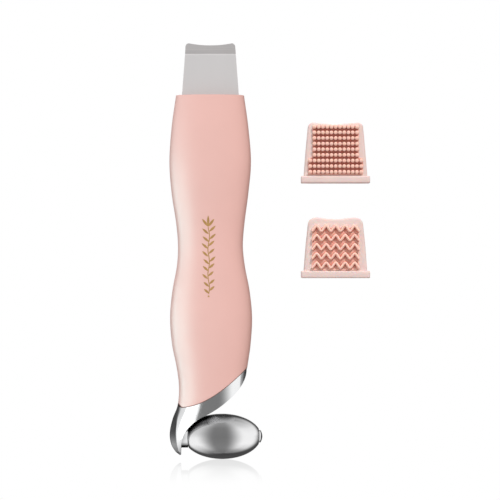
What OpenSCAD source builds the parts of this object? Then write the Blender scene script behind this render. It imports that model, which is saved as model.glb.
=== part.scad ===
// Ultrasonic skin scrubber with a facial roller at its foot, and two silicone blade covers.
// Millimetres. +Z runs up the handle to the blade, -Y is the front, +Y is the back with the buttons.
// The origin is the centre of the grip, at the waist of the handle.

/* [Handle] */
// Height of the handle's mouth above the waist
mouth_z = 67.7; // [66:0.1:70]
// Width of the handle at its mouth
mouth_w = 30.6; // [30:0.1:32]
// Width across the upper swell
upper_w = 36.7; // [35:0.1:39]
// Width at the waist
waist_w = 29.2; // [28.6:0.1:31]
// Width across the lower swell
lower_w = 36.9; // [35:0.1:39]
// Depth at the waist, front to back
waist_d = 18.8; // [18.4:0.1:21]
// Depth at the lower swell, front to back
lower_d = 22.4; // [22:0.1:25]
// Thickness of the shells
wall = 1.8; // [1.4:0.1:2]
// Squareness of the cross-section: 2 is an ellipse
squareness = 2.4; // [2.2:0.1:2.8]

/* [Blade] */
// Width of the blade where it leaves the handle
blade_root_w = 25.6; // [24:0.1:26]
// Width of the blade at its tip
blade_tip_w = 22.4; // [21:0.1:23]
// Height of the bend line above the mouth
blade_flat_h = 18.7; // [17:0.1:20]
// Length of the bent lip
lip_len = 5; // [4:0.1:6]
// Angle of the bent lip, towards the front
lip_angle = 25; // [15:1:30]
// Thickness of the showing part of the blade
blade_t = 1.2; // [1:0.1:1.4]

/* [Roller] */
// Radius of the roller at its middle
roller_r = 10.2; // [9.5:0.1:10.4]
// Half length of the roller's full ellipse
roller_a = 17.5; // [17:0.1:18]
// Radius of the axle
axle_r = 1.5; // [1.3:0.1:1.7]
// Gap between the roller and the arm
roller_gap = 0.6; // [0.5:0.1:0.8]

/* [Buttons] */
// Radius of the two button caps
button_r = 4; // [3.6:0.1:4.4]
// Travel of a button
button_travel = 0.5; // [0.3:0.1:0.5]

/* [Covers] */
// Width of a cover's rim
rim_w = 30.9; // [30:0.1:32]
// Height of a cover's rim
rim_h = 3.2; // [2.8:0.1:3.6]
// Height of a cover over all
cover_h = 27.2; // [26.8:0.1:29]
// Thickness of a cover, front to back
cover_t = 5.4; // [5.2:0.1:6]
// How far the nubs and ridges stand out
relief = 1.7; // [1.2:0.1:2.2]

/* [Hidden] */
eps = 0.01;

// Side outlines and half depth of the handle and arm, as [height, value], running down.
// Below the seam the left outline is the arm's.
seam_left = [-14.4, -72.3];
seam_right = [16.3, -54.8];
hook_x = -12.7;
hook_rise = 1.6;
arm_tip = [-13.7, -94.1];
left_line = [
    [mouth_z, -mouth_w / 2 - 0.2], [54, -17.4], [38, -upper_w / 2 - 0.1], [24, -17.5], [10, -15.4],
    [0, -waist_w / 2], [-9, -15.1], [-20, -17.1], [-32, 0.3 - lower_w / 2], [-44, -17.3], [-54, -15.3],
    [-61, -14.3], [-67, -14.2], [-72, -14.9], [-78, -17.1], [-84, -18.3], [-89, -17.7], [-92.5, -15.7],
    [arm_tip[1], arm_tip[0]]
];
right_line = [
    [mouth_z, mouth_w / 2 - 0.2], [54, 17], [38, upper_w / 2 - 0.1], [24, 17.1], [10, 15.3],
    [0, waist_w / 2], [-9, 15.5], [-20, 17.6], [-32, 0.3 + lower_w / 2], [-44, 18.1], [-52, 17],
    [-56, 16.4], [-60, 16], [-66, 15.8], [-72, 16.2], [-78, 16.8], [arm_tip[1], 17]
];
depth_line = [
    [mouth_z, 7.2], [54, 9.2], [38, 10.4], [20, 10.1], [0, waist_d / 2], [-16, 10.4], [-32, lower_d / 2],
    [-46, 10.9], [-58, 10.2], [-72, 9.4], [-80, 8.8], [-86, 7.6], [-90.5, 5.4], [arm_tip[1], 2.2]
];
seam_lean = 0.28;
seam_gap = 0.2;
part_gap = 0.1;

ring_count = 36;
half_steps = 14;

// The seal in the mouth, and the blade's tang inside the handle
seal_h = 6;
seal_drop = 0.5;
seal_clear = 0.15;
tip_corner = 1.6;
tip_dip = 0.9;
tang_w = 21;
tang_t = 1;
tang_foot_z = 34;
pad_t = 1.5;
pad_h = 8;
piezo_z = 52;
piezo_r = 8;
piezo_t = 2;

// Screws, as [x, z], and the bosses they drive into
blade_screw_at = [[-7, 39], [7, 39]];
frame_screw_at = [[-8.4, 18], [8.4, 18]];
shell_screw_at = [[-7.2, 28.5], [7.2, 28.5], [-7.2, -49.5], [7.2, -49.5]];
arm_screw_at = [[-7, -65], [7, -57]];
boss_r = 2.5;
pilot_r = 1;
shank_r = 0.95;
head_r = 1.9;
head_h = 1.3;
hole_clear = 0.3;
arm_boss_y = 5.8;
arm_head_y = 4;
shell_head_y = 5;

// Electronics, the frame that holds them, and the openings in the back
board_w = 22.6;
board_t = 1.2;
board_y = 2;
board_top_z = 23;
board_foot_z = -43;
board_face = board_y + board_t;
power_z = 12;
mode_z = 0;
led_z = [-9.5, -14, -18.5];
pipe_r = 0.9;
socket_z = -34;
socket_w = 9;
socket_h = 3.2;
battery_size = [19, 5, 31];
battery_at = [0, -3.9, -29.5];
strip = [12, 2.8, 1.5];
switch_w = 6;
switch_h = 2.2;
switch_pin_r = 1.7;
switch_pin_h = 0.6;
frame_t = 1.2;
frame_w = 21.6;
frame_foot_z = -46;
tray_wall = 1;
tray_h = 4;
stem_r = 1.4;

// The arm's tenon inside the shells
tenon_x = [11.2, -10.4];
tenon_h = 11;
tenon_clear = 0.3;

// The roller and what it turns on
axle_at = [5.3, -85.6];
axle_left = -15.8;
roller_left = -9.9;
roller_right = 21.9;
bush_r = 2.6;
bush_len = 5;
neck_r = 5.1;
neck_left = -13.9;
cap_r = 2.9;
cap_out = 23.4;
fit = 0.02;

// The covers
cover_at = [56.2, 28.2];
ridge_drop = 42.6;
cover_foot_w = 28.6;
cover_wall = 0.9;
cover_dip = 0.75;
nub_cover_corner = 2.2;
ridge_cover_corner = 3.4;
rim_t = 8;
field_t = 0.25;
field_margin = 0.5;
nub_pitch = [1.9, 2.52];
nub_r = 0.72;
nub_first = 1.8;
nub_rows = [13, 13, 13, 11, 11, 11, 11, 11, 11];
ridge_rows = 5;
ridge_peaks = 5;
ridge_pitch = [4.26, 4.12];
ridge_rise = 2.5;
ridge_first = 1.4;
ridge_t = 1.2;

pink = "#e9bdb2";
pale_pink = "#efd0c6";
rose = "#e2a493";
seal_pink = "#d8b4aa";
steel = "#c8c9cb";
chrome = "#d9dbde";
white = "#eeeeec";
live = "firebrick";
dark = "#333333";

// ---------- curves ----------

function slope(s, i) =
    let (a = max(i - 1, 0), b = min(i + 1, len(s) - 1))
    (s[b][1] - s[a][1]) / (s[b][0] - s[a][0]);
function span(s, z, i = 0) = (i >= len(s) - 2 || z >= s[i + 1][0]) ? i : span(s, z, i + 1);

// A smooth curve through stations that run downwards in z
function curve(s, z) =
    let (i = span(s, z), h = s[i + 1][0] - s[i][0], t = (z - s[i][0]) / h)
    (2 * t ^ 3 - 3 * t ^ 2 + 1) * s[i][1] + (t ^ 3 - 2 * t ^ 2 + t) * h * slope(s, i)
    + (3 * t ^ 2 - 2 * t ^ 3) * s[i + 1][1] + (t ^ 3 - t ^ 2) * h * slope(s, i + 1);

function mix(a, b, t) = a + (b - a) * t;
function bezier(p, t) =
    (1 - t) ^ 3 * p[0] + 3 * (1 - t) ^ 2 * t * p[1] + 3 * (1 - t) * t ^ 2 * p[2] + t ^ 3 * p[3];

// Half width, centre and half depth of the handle at a height, drawn in by inset
function half_width(z, inset = 0) = (curve(right_line, z) - curve(left_line, z)) / 2 - inset;
function centre_x(z) = (curve(right_line, z) + curve(left_line, z)) / 2;
function half_depth(z, inset = 0) = curve(depth_line, z) - inset;

// Distance from the middle plane to the surface, at a place in the front view
function skin_y(x, z, inset = 0) =
    let (u = min(1, abs(x - centre_x(z)) / half_width(z, inset)))
    half_depth(z, inset) * (1 - u ^ squareness) ^ (1 / squareness);

// The seam between the shells and the chrome arm: rising to the right, with a short hook up at the far left
function seam_z(x) =
    let (s = (x - seam_left[0]) / (seam_right[0] - seam_left[0]))
    seam_left[1] + (seam_right[1] - seam_left[1]) * ((1 + seam_lean) * s ^ 2 - seam_lean * s ^ 3)
    + hook_rise * max(0, (hook_x - x) / (hook_x - seam_left[0]));

// A point of the front half section, from the left side (0) round the front to the right side (180)
function section(angle, z, inset = 0) =
    let (c = cos(angle), s = sin(angle), p = 2 / squareness)
    [
        centre_x(z) - half_width(z, inset) * sign(c) * abs(c) ^ p,
        -max(part_gap / 2, half_depth(z, inset) * max(0, s) ^ p),
        z
    ];
// The height at which a column of that section meets the seam
function foot_z(angle, inset, z = -64, n = 6) =
    n == 0 ? z : foot_z(angle, inset, seam_z(section(angle, z, inset)[0]) + seam_gap / 2, n - 1);

// A four-cornered face as two triangles
function quad(a, b, c, d) = [[a, b, c], [a, c, d]];

// Every face turned inside out
function flipped(faces) = [for (f = faces) [f[2], f[1], f[0]]];

// Faces joining rings of m points each, with the first and last ring left open
function walls(rings, m) = [
    for (i = [0:rings - 2], j = [0:m - 1])
        let (a = i * m + j, b = i * m + (j + 1) % m)
        each quad(a, b, b + m, a + m)
];

// ---------- shared shapes ----------

// One half of the handle's shell, front side, as rings that are a letter C in plan
module half_shell() {
    n = half_steps;
    m = 2 * (n + 1);
    columns = concat(
        [for (j = [0:n]) [180 * j / n, 0]],
        [for (j = [n:-1:0]) [180 * j / n, wall]]
    );
    feet = [for (c = columns) foot_z(c[0], c[1])];
    points = [
        for (i = [0:ring_count - 1], j = [0:m - 1])
            section(columns[j][0], mix(mouth_z, feet[j], i / (ring_count - 1)), columns[j][1])
    ];
    last = (ring_count - 1) * m;
    top = [for (j = [0:n - 1]) let (k = m - 1 - j) each quad(j, k, k - 1, j + 1)];
    foot = [for (f = flipped(top)) f + [last, last, last]];
    polyhedron(points, concat(walls(ring_count, m), top, foot), convexity = 8);
}

// A solid over the strip of the front view between lines a and b. It is as deep as the handle's surface,
// drawn in by inset, and least keeps it from closing to an edge
module skin_slab(a, b, inset = 0, across = 8, least = 0.2) {
    n = len(a);
    m = across + 1;
    function at(i, s) = mix(a[i], b[i], s ^ 1.6);
    function face(side) = [
        for (i = [0:n - 1], j = [0:across])
            let (p = at(i, j / across))
            [p[0], side * max(least, skin_y(p[0], p[1], inset)), p[1]]
    ];
    back = n * m;
    last = (n - 1) * m;
    sheets = [
        for (i = [0:n - 2], j = [0:across - 1])
            let (p = i * m + j, q = p + m, bp = back + p, bq = back + q)
            each concat(quad(p, q, q + 1, p + 1), quad(bp, bp + 1, bq + 1, bq))
    ];
    sides = [
        for (i = [0:n - 2])
            let (p = i * m, q = p + m, r = p + across, s = q + across)
            each concat(quad(p, back + p, back + q, q), quad(r, s, back + s, back + r))
    ];
    ends = [
        for (j = [0:across - 1])
            let (q = last + j)
            each concat(quad(j, j + 1, back + j + 1, back + j), quad(q, back + q, back + q + 1, q + 1))
    ];
    polyhedron(concat(face(-1), face(1)), flipped(concat(sheets, sides, ends)), convexity = 8);
}

// A rod along Y at a place in the front view
module rod_y(at, r, y0, y1) {
    translate([at[0], y0, at[1]])
        rotate([-90, 0, 0])
            cylinder(r = r, h = y1 - y0, $fn = 48);
}

// A rod along X on the roller's axis
module rod_x(r, x0, x1) {
    translate([x0, 0, axle_at[1]])
        rotate([0, 90, 0])
            cylinder(r = r, h = x1 - x0, $fn = 64);
}

// A bar along Y with half-round ends, lying across X
module slot_y(z, w, h, y0, y1) {
    for (side = [-1, 1])
        rod_y([side * (w - h) / 2, z], h / 2, y0, y1);
    translate([-(w - h) / 2, y0, z - h / 2])
        cube([w - h, y1 - y0, h]);
}

// A screw driven from the back: head, shank and cross slot
module screw(at, head_y, length) {
    difference() {
        union() {
            rod_y(at, head_r, head_y, head_y + head_h);
            rod_y(at, shank_r, head_y - length, head_y + eps);
        }
        for (turn = [0, 90])
            translate([at[0], head_y + head_h, at[1]])
                rotate([0, turn, 0])
                    cube([2.2, 1.2, 0.5], center = true);
    }
}

// A wire swept along a route of points
module wire(route, r) {
    sides = 8;
    n = len(route);
    function ahead(i) = route[min(i + 1, n - 1)] - route[max(i - 1, 0)];
    function unit(v) = v / norm(v);
    points = [
        for (i = [0:n - 1])
            let (
                t = unit(ahead(i)),
                other = abs(t[1]) > 0.9 ? [1, 0, 0] : [0, 1, 0],
                u = unit(cross(t, other)),
                v = cross(t, u)
            )
            for (k = [0:sides - 1])
                route[i] + r * (cos(360 * k / sides) * u + sin(360 * k / sides) * v)
    ];
    last = (n - 1) * sides;
    ends = [for (k = [1:sides - 2]) each [[0, k + 1, k], [last, last + k, last + k + 1]]];
    polyhedron(points, flipped(concat(walls(n, sides), ends)), convexity = 4);
}

// Points on a smooth line through hand-set knots
function through(p, steps = 4) = [
    for (i = [0:len(p) - 2], k = [0:steps - 1])
        let (
            t = k / steps,
            a = (p[i + 1] - p[max(i - 1, 0)]) / 2,
            b = (p[min(i + 2, len(p) - 1)] - p[i]) / 2
        )
        (2 * t ^ 3 - 3 * t ^ 2 + 1) * p[i] + (t ^ 3 - 2 * t ^ 2 + t) * a
        + (3 * t ^ 2 - 2 * t ^ 3) * p[i + 1] + (t ^ 3 - t ^ 2) * b,
    p[len(p) - 1]
];

// ---------- handle ----------

// A screw boss that stands on a shell's inner face and stops just short of the middle plane
module boss(at, side, stop = 0) {
    reach = skin_y(at[0], at[1]) - wall / 2;
    rod_y(at, boss_r, side > 0 ? stop + part_gap : -reach, side > 0 ? reach : -stop - part_gap);
}

module front_shell() {
    color(pink)
        difference() {
            union() {
                half_shell();
                for (at = shell_screw_at)
                    boss(at, -1);
                for (at = blade_screw_at)
                    boss(at, -1, tang_t / 2 + pad_t + part_gap);
                for (at = frame_screw_at)
                    boss(at, -1, frame_t);
                for (at = arm_screw_at)
                    boss(at, -1, arm_boss_y + part_gap);
            }
            for (at = concat(shell_screw_at, blade_screw_at, frame_screw_at, arm_screw_at))
                rod_y(at, pilot_r, -6.8, 1);
        }
}

module back_shell() {
    out = 14;
    color(pink)
        difference() {
            union() {
                mirror([0, 1, 0])
                    half_shell();
                for (at = shell_screw_at)
                    boss(at, 1);
            }
            for (at = shell_screw_at) {
                rod_y(at, pilot_r + 0.25, -1, out);
                rod_y(at, head_r + hole_clear, shell_head_y, out);
            }
            for (z = [power_z, mode_z])
                rod_y([0, z], button_r + 0.25, shell_head_y, out);
            for (z = led_z)
                rod_y([0, z], pipe_r + 0.05, shell_head_y, out);
            slot_y(socket_z, socket_w + 0.8, socket_h + 0.8, shell_head_y, out);
        }
}

// Soft plug that closes the mouth around the blade
module mouth_seal() {
    top = mouth_z - seal_drop;
    slot = [blade_root_w + 0.4, blade_t + 0.2, seal_h + 2];
    color(seal_pink)
        difference() {
            hull()
                for (z = [top - seal_h, top - eps])
                    section_slice(z, wall + seal_clear);
            translate([0, 0, top - seal_h / 2])
                cube(slot, center = true);
        }
}

// A thin slice of the handle's section, drawn in by inset
module section_slice(z, inset) {
    steps = 16;
    half = [for (j = [0:steps]) section(180 * j / steps, z, inset)];
    front = [for (p = half) [p[0], p[1]]];
    back = [for (j = [steps:-1:0]) [half[j][0], -half[j][1]]];
    translate([0, 0, z])
        linear_extrude(eps)
            polygon(concat(front, back));
}

// ---------- blade and transducer ----------

// Front outline of the whole blade, with round corners and a hollow tip
module blade_outline() {
    tip_z = mouth_z + blade_flat_h + lip_len * cos(lip_angle);
    tip = blade_tip_w / 2;
    corner = tip_corner;
    inner = mouth_z - seal_h - 2;
    dip_r = ((tip - corner) ^ 2 + tip_dip ^ 2) / (2 * tip_dip);
    right = [
        [tang_w / 2, tang_foot_z], [tang_w / 2, inner], [blade_root_w / 2, inner],
        [blade_root_w / 2, mouth_z], [tip, tip_z - corner]
    ];
    left = [for (k = [len(right) - 1:-1:0]) [-right[k][0], right[k][1]]];
    difference() {
        union() {
            polygon(concat(right, left));
            for (side = [-1, 1])
                translate([side * (tip - corner), tip_z - corner])
                    circle(r = corner, $fn = 48);
            translate([corner - tip, tip_z - 2 * corner])
                square([2 * (tip - corner), 2 * corner]);
        }
        translate([0, tip_z - tip_dip + dip_r])
            circle(r = dip_r, $fn = 256);
    }
}

// Side outline of the blade: thin tang, showing flat, bend, and lip ground to a fine edge
module blade_profile() {
    half = blade_t / 2;
    thin = tang_t / 2;
    step_z = mouth_z + 0.2;
    bend_z = mouth_z + blade_flat_h;
    grind = 2;
    spare = 0.4;
    function on_lip(along, out) = [
        -along * sin(lip_angle) + out * cos(lip_angle),
        bend_z + along * cos(lip_angle) + out * sin(lip_angle)
    ];
    miter = half * tan(lip_angle / 2);
    polygon([
        [-thin, tang_foot_z - 1], [thin, tang_foot_z - 1], [thin, step_z], [half, step_z],
        on_lip(-miter, half), on_lip(lip_len - grind, half), on_lip(lip_len + spare, 0),
        on_lip(lip_len + spare, -half), on_lip(miter, -half), [-half, step_z], [-thin, step_z]
    ]);
}

module blade() {
    color(steel)
        difference() {
            intersection() {
                translate([0, 2 * lip_len, 0])
                    rotate([90, 0, 0])
                        linear_extrude(4 * lip_len)
                            blade_outline();
                translate([-blade_root_w, 0, 0])
                    rotate([90, 0, 90])
                        linear_extrude(2 * blade_root_w)
                            blade_profile();
            }
            for (at = blade_screw_at)
                rod_y(at, pilot_r + hole_clear, -tang_t, tang_t);
        }
}

// Piezo ring bonded to the tang
module transducer() {
    bore_r = 2;
    color(white)
        difference() {
            rod_y([0, piezo_z], piezo_r, tang_t / 2, tang_t / 2 + piezo_t);
            rod_y([0, piezo_z], bore_r, 0, 2 * piezo_t);
        }
}

// Silicone pads on both faces of the tang
module damping_pads() {
    color("dimgray")
        for (side = [-1, 1])
            difference() {
                translate([0, side * (tang_t + pad_t) / 2, blade_screw_at[0][1]])
                    cube([tang_w, pad_t, pad_h], center = true);
                for (at = blade_screw_at)
                    rod_y(at, pilot_r + hole_clear, -2 * pad_t, 2 * pad_t);
            }
}

module blade_screws() {
    length = 7.5;
    color(steel)
        for (at = blade_screw_at)
            screw(at, tang_t / 2 + pad_t + fit, length);
}

// Two wires from the transducer's edge down to the board
module transducer_leads() {
    lead_r = 0.45;
    for (side = [-1, 1])
        color(side < 0 ? live : dark)
            wire(through([
                [side * 3, 3, 47], [side * 3.4, 4.6, 43], [side * 3.2, 5, 36], [side * 3, 4.8, 28],
                [side * 3, board_face + 2 * lead_r, 21.5]
            ]), lead_r);
}

// ---------- inside the handle ----------

// Moulded frame between the battery and the circuit board
module inner_frame() {
    tray_x = battery_size[0] / 2 + 0.7;
    post_r = 1.3;
    screw_post_r = 2;
    window = [10, 18];
    color("#bfc4c8")
        difference() {
            union() {
                translate([-frame_w / 2, -frame_t, frame_foot_z])
                    cube([frame_w, frame_t, board_top_z - frame_foot_z]);
                for (side = [-1, 1])
                    translate([side * tray_x, -frame_t / 2 - tray_h / 2, battery_at[2]])
                        cube([tray_wall, tray_h, battery_size[2] + 1], center = true);
                for (x = [-9, 9], z = [-38, -4])
                    rod_y([x, z], post_r, -eps, board_y);
                for (at = frame_screw_at)
                    rod_y(at, screw_post_r, -eps, board_y);
            }
            for (at = frame_screw_at)
                rod_y(at, pilot_r + 0.1, -2 * frame_t, 2 * board_y);
            translate([-window[0] / 2, -2 * frame_t, -8])
                cube([window[0], 3 * frame_t, window[1]]);
        }
}

module main_board() {
    color("seagreen")
        difference() {
            translate([-board_w / 2, board_y, board_foot_z])
                cube([board_w, board_t, board_top_z - board_foot_z]);
            for (at = frame_screw_at)
                rod_y(at, pilot_r + 0.1, 0, 2 * board_face);
        }
}

// Driver transformer, coils, chips and connectors
module board_parts() {
    transformer = [[-10, -27], [7, 7], 4];
    chips = [[[3.5, -27], [6, 6], 1.4], [[-9.5, -9], [5, 4], 1.2], [[4.8, -9], [5, 3], 1.1]];
    plugs = [[[-7.5, -41], [3, 3], 2.2], [[4.5, -41], [3, 3], 2.2]];
    capacitors = [for (x = [-9, -6, 6, 9]) [[x, -30.5], [1.2, 0.7], 0.7]];
    coil_r = 2;
    coil_h = 2;
    color("#2c2c30")
        blocks(concat([transformer], chips));
    color(white)
        blocks(plugs);
    color("tan")
        blocks(capacitors);
    color("darkgoldenrod")
        for (at = [[-7.4, 5], [7.4, 5], [-7.4, -15]])
            rod_y(at, coil_r, board_face, board_face + coil_h);
}

// Blocks on the board, each as its corner [x, z], its width and height, and how far it stands off
module blocks(list) {
    for (b = list)
        translate([b[0][0], board_face, b[0][1]])
            cube([b[1][0], b[2], b[1][1]]);
}

module tact_switches() {
    color("#3a3a3c")
        for (z = [power_z, mode_z]) {
            blocks([[[-switch_w / 2, z - switch_w / 2], [switch_w, switch_w], switch_h]]);
            rod_y([0, z], switch_pin_r, board_face + switch_h - eps, board_face + switch_h + switch_pin_h);
        }
}

module status_leds() {
    w = 1.6;
    color("ivory")
        blocks([for (z = led_z) [[-w / 2, z - w / 2], [w, w], w / 2]]);
}

// Clear pipes that carry each lamp's light to the back face
module light_pipes() {
    flange_r = pipe_r + 0.6;
    flange_t = 0.9;
    color(white)
        for (z = led_z) {
            under = skin_y(0, z) - wall - hole_clear;
            rod_y([0, z], pipe_r, board_face + 1, skin_y(0, z) + 0.05);
            rod_y([0, z], flange_r, under - flange_t, under);
        }
}

// Upright receptacle, with its tongue
module charging_socket() {
    top = skin_y(0, socket_z) - 0.6;
    can = 0.35;
    floor_t = 1;
    tongue = [6.4, 0.7];
    color(steel) {
        difference() {
            slot_y(socket_z, socket_w, socket_h, board_face, top);
            slot_y(socket_z, socket_w - 2 * can, socket_h - 2 * can, board_face + floor_t, 2 * top);
        }
        translate([-tongue[0] / 2, board_face + floor_t - eps, socket_z - tongue[1] / 2])
            cube([tongue[0], top - board_face - 2 * floor_t, tongue[1]]);
    }
}

// Pouch cell with its protection strip along the top
module battery() {
    color("#a9b4c6") {
        translate(battery_at)
            cube(battery_size, center = true);
        translate(battery_at + [0, 0, (battery_size[2] + strip[2]) / 2 - eps])
            cube(strip, center = true);
    }
}

module battery_leads() {
    lead_r = 0.5;
    x = 2.6;
    top = battery_at[2] + battery_size[2] / 2 + strip[2] + 0.1;
    for (side = [-1, 1])
        color(side > 0 ? live : dark)
            wire(through([
                [side * 3, battery_at[1], top], [side * 2.8, battery_at[1], top + 2.4],
                [side * x, -2, top + 6.4], [side * x, 0.4, top + 8.4], [side * x, board_y - 0.1, top + 8.8]
            ]), lead_r);
}

module frame_screws() {
    length = 8.4;
    color(steel)
        for (at = frame_screw_at)
            screw(at, board_face, length);
}

module shell_screws() {
    length = 11;
    color(steel)
        for (at = shell_screw_at)
            screw(at, shell_head_y + fit, length);
}

// Soft plugs that hide the shell screws, set a little below the surface
module screw_plugs() {
    plug_t = 1.2;
    sunk = 0.35;
    color(pink)
        for (at = shell_screw_at) {
            top = skin_y(at[0], at[1]) - sunk;
            rod_y(at, head_r + hole_clear - 0.05, top - plug_t, top);
        }
}

// ---------- arm, axle and roller ----------

// A place on the clearance ellipse round the roller, at an angle from +X
function round_roller(angle) =
    axle_at + [(roller_a + roller_gap) * cos(angle), (roller_r + roller_gap) * sin(angle)];

// Upper and outer edge of the arm: along the seam, up its hook, then down the left outline to the tip
along = 14;
down = 16;
arm_top_z = seam_left[1] + hook_rise - seam_gap / 2;
seam_x = concat(
    [for (i = [0:along]) mix(seam_right[0], hook_x, i / along)],
    [(hook_x + seam_left[0]) / 2, seam_left[0]]
);
left_z = [for (i = [1:down]) mix(arm_top_z, arm_tip[1], sin(90 * i / down))];
arm_outer = concat(
    [for (x = seam_x) [x, seam_z(x) - seam_gap / 2]],
    [for (z = left_z) [curve(left_line, z), z]]
);

// Lower and inner edge of the arm: up from the seam's right end, round the roller, then down to the tip
arm_meets = 114;
arm_leaves = 162;
arm_under = [seam_right - [0, 0.9], [16.3, -62], [8.7, -70.2], round_roller(arm_meets)];
arm_foot = [round_roller(arm_leaves), [-12.4, -86], [-13.3, -90], arm_tip + [0.5, 0.3]];
arm_inner = concat(
    [for (i = [0:12]) bezier(arm_under, i / 12)],
    [for (i = [1:10]) round_roller(mix(arm_meets, arm_leaves, i / 10))],
    [for (i = [1:10]) bezier(arm_foot, i / 10)]
);

module roller_arm() {
    far = 14;
    color(chrome)
        difference() {
            union() {
                skin_slab(arm_outer, arm_inner);
                tenon();
            }
            rod_x(axle_r + fit, axle_left - 0.1, 0);
            rod_x(neck_r + fit, neck_left, roller_left);
            for (at = shell_screw_at)
                rod_y(at, boss_r + hole_clear, -far, far);
            for (at = arm_screw_at) {
                rod_y(at, pilot_r + hole_clear, -far, far);
                rod_y(at, boss_r + hole_clear, -far, -arm_boss_y);
                rod_y(at, head_r + hole_clear, arm_head_y, far);
            }
        }
}

// Block that stands up inside the shells, following the seam
module tenon() {
    steps = 10;
    root = 1.5;
    x = [for (i = [0:steps]) mix(tenon_x[0], tenon_x[1], i / steps)];
    upper = [for (v = x) [v, seam_z(v) + tenon_h]];
    lower = [for (v = x) [v, seam_z(v) - root]];
    skin_slab(upper, lower, wall + tenon_clear, 4);
}

module arm_screws() {
    length = 10.6;
    color(steel)
        for (at = arm_screw_at)
            screw(at, arm_head_y + fit, length);
}

// Round boss between the arm and the roller, let into the arm, with a seat for the thrust washer
module neck_collar() {
    seat_r = axle_r + 1.6;
    seat = 0.45;
    color(chrome)
        difference() {
            union() {
                rod_x(neck_r, neck_left + fit, roller_left - 0.35);
                rod_x(neck_r - 0.6, neck_left + fit, roller_left - 0.1);
            }
            rod_x(axle_r + fit, neck_left - 1, 0);
            rod_x(seat_r, roller_left - seat, 0);
        }
}

module thrust_washer() {
    color("ivory")
        difference() {
            rod_x(axle_r + 1.4, roller_left - 0.42, roller_left - 0.06);
            rod_x(axle_r + 0.03, roller_left - 1, 0);
        }
}

module axle() {
    color(steel)
        rod_x(axle_r, axle_left, roller_right + 0.6);
}

// Domed nut on the free end of the axle
module axle_cap() {
    base = roller_right + 0.1;
    flat = 0.3;
    dome = cap_out - base - flat;
    rim = [for (k = [0:9]) [cap_r * cos(10 * k), flat + dome * sin(10 * k)]];
    color(chrome)
        difference() {
            translate([base, 0, axle_at[1]])
                rotate([0, 90, 0])
                    rotate_extrude($fn = 64)
                        polygon(concat([[0, 0], [cap_r, 0]], rim));
            rod_x(axle_r + fit, base - 1, roller_right + 0.6 + fit);
        }
}

// Egg-shaped roller: an ellipse turned about the axle, cut flat at both ends, bored for its bushes
module roller() {
    steps = 28;
    function egg_r(x) = roller_r * sqrt(1 - ((x - axle_at[0]) / roller_a) ^ 2);
    function place(i) = mix(roller_left, roller_right, (1 - cos(180 * i / steps)) / 2);
    bore = [[bush_r, roller_right], [bush_r, roller_left]];
    color(chrome)
        translate([0, 0, axle_at[1]])
            rotate([0, 90, 0])
                rotate_extrude($fn = 96)
                    polygon(concat(bore, [for (i = [0:steps]) [egg_r(place(i)), place(i)]]));
}

module roller_bushes() {
    sunk = 0.1;
    color("ivory")
        for (x = [roller_left + sunk, roller_right - sunk - bush_len])
            difference() {
                rod_x(bush_r - eps, x, x + bush_len);
                rod_x(axle_r + 0.05, x - 1, x + bush_len + 1);
            }
}

// ---------- buttons ----------

// Cap with a flange behind the shell and a stem over the switch
module button(z) {
    skin = skin_y(0, z);
    rest_gap = 0.1;
    stem_foot = board_face + switch_h + switch_pin_h + button_travel + rest_gap;
    color(chrome) {
        rod_y([0, z], button_r, skin - wall - 0.6, skin + 0.25);
        rod_y([0, z], button_r - 0.6, skin, skin + 0.55);
        rod_y([0, z], stem_r, stem_foot, skin - wall);
    }
}

module power_button() {
    button(power_z);
}

module mode_button() {
    button(mode_z);
}

// ---------- covers ----------

// Outline of a cover above its rim: tapering, with rounded corners and a hollow top edge
function cover_outline(h, inset, corner) =
    let (
        foot = cover_foot_w / 2 - inset,
        top = blade_tip_w / 2 + 1.2 - inset,
        z = h - inset,
        r = corner,
        flat = top - r,
        turn = [for (k = [0:6]) 15 * k],
        hollow = [for (k = [1:11]) mix(flat, -flat, k / 12)]
    )
    concat(
        [[-foot, 0], [foot, 0]],
        [for (a = turn) [flat + r * cos(a), z - r + r * sin(a)]],
        [for (x = hollow) [x, z - cover_dip * cos(90 * x / flat) ^ 2]],
        [for (a = turn) [-flat - r * sin(a), z - r + r * cos(a)]]
    );

// A plate in the front view, between two places along Y
module upright(y0, y1) {
    translate([0, y1, 0])
        rotate([90, 0, 0])
            linear_extrude(y1 - y0)
                children();
}

// Sleeve that slides over the blade, with its mouth at the foot
module sleeve(corner) {
    half = cover_t / 2;
    top_wall = 1;
    difference() {
        union() {
            upright(-half, half)
                polygon(cover_outline(cover_h, 0, corner));
            translate([-rim_w / 2, -rim_t / 2, 0])
                cube([rim_w, rim_t, rim_h]);
        }
        translate([0, 0, -eps])
            upright(cover_wall - half, half - cover_wall)
                polygon(cover_outline(cover_h - top_wall, cover_wall, corner));
    }
}

module nub_cover() {
    color(pale_pink)
        translate([cover_at[0], 0, cover_at[1]])
            sleeve(nub_cover_corner);
}

// Thin bed moulded onto the sleeve's front, with rows of nubs standing on it
module nub_field() {
    face = -cover_t / 2;
    function row_z(row) = rim_h + nub_first + nub_pitch[1] * row;
    function row_x(row, k) = nub_pitch[0] * (k - (nub_rows[row] - 1) / 2);
    color(rose)
        translate([cover_at[0], 0, cover_at[1]]) {
            for (row = [0:len(nub_rows) - 1]) {
                w = nub_pitch[0] * (nub_rows[row] - 1) + 2 * (nub_r + field_margin);
                translate([-w / 2, face - field_t, row_z(row) - nub_pitch[1] / 2 - eps])
                    cube([w, field_t, nub_pitch[1] + 2 * eps]);
            }
            for (row = [0:len(nub_rows) - 1], k = [0:nub_rows[row] - 1])
                translate([row_x(row, k), face - field_t + eps, row_z(row)])
                    rotate([90, 0, 0])
                        cylinder(r = nub_r, h = relief - field_t + eps, $fn = 24);
        }
}

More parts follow.
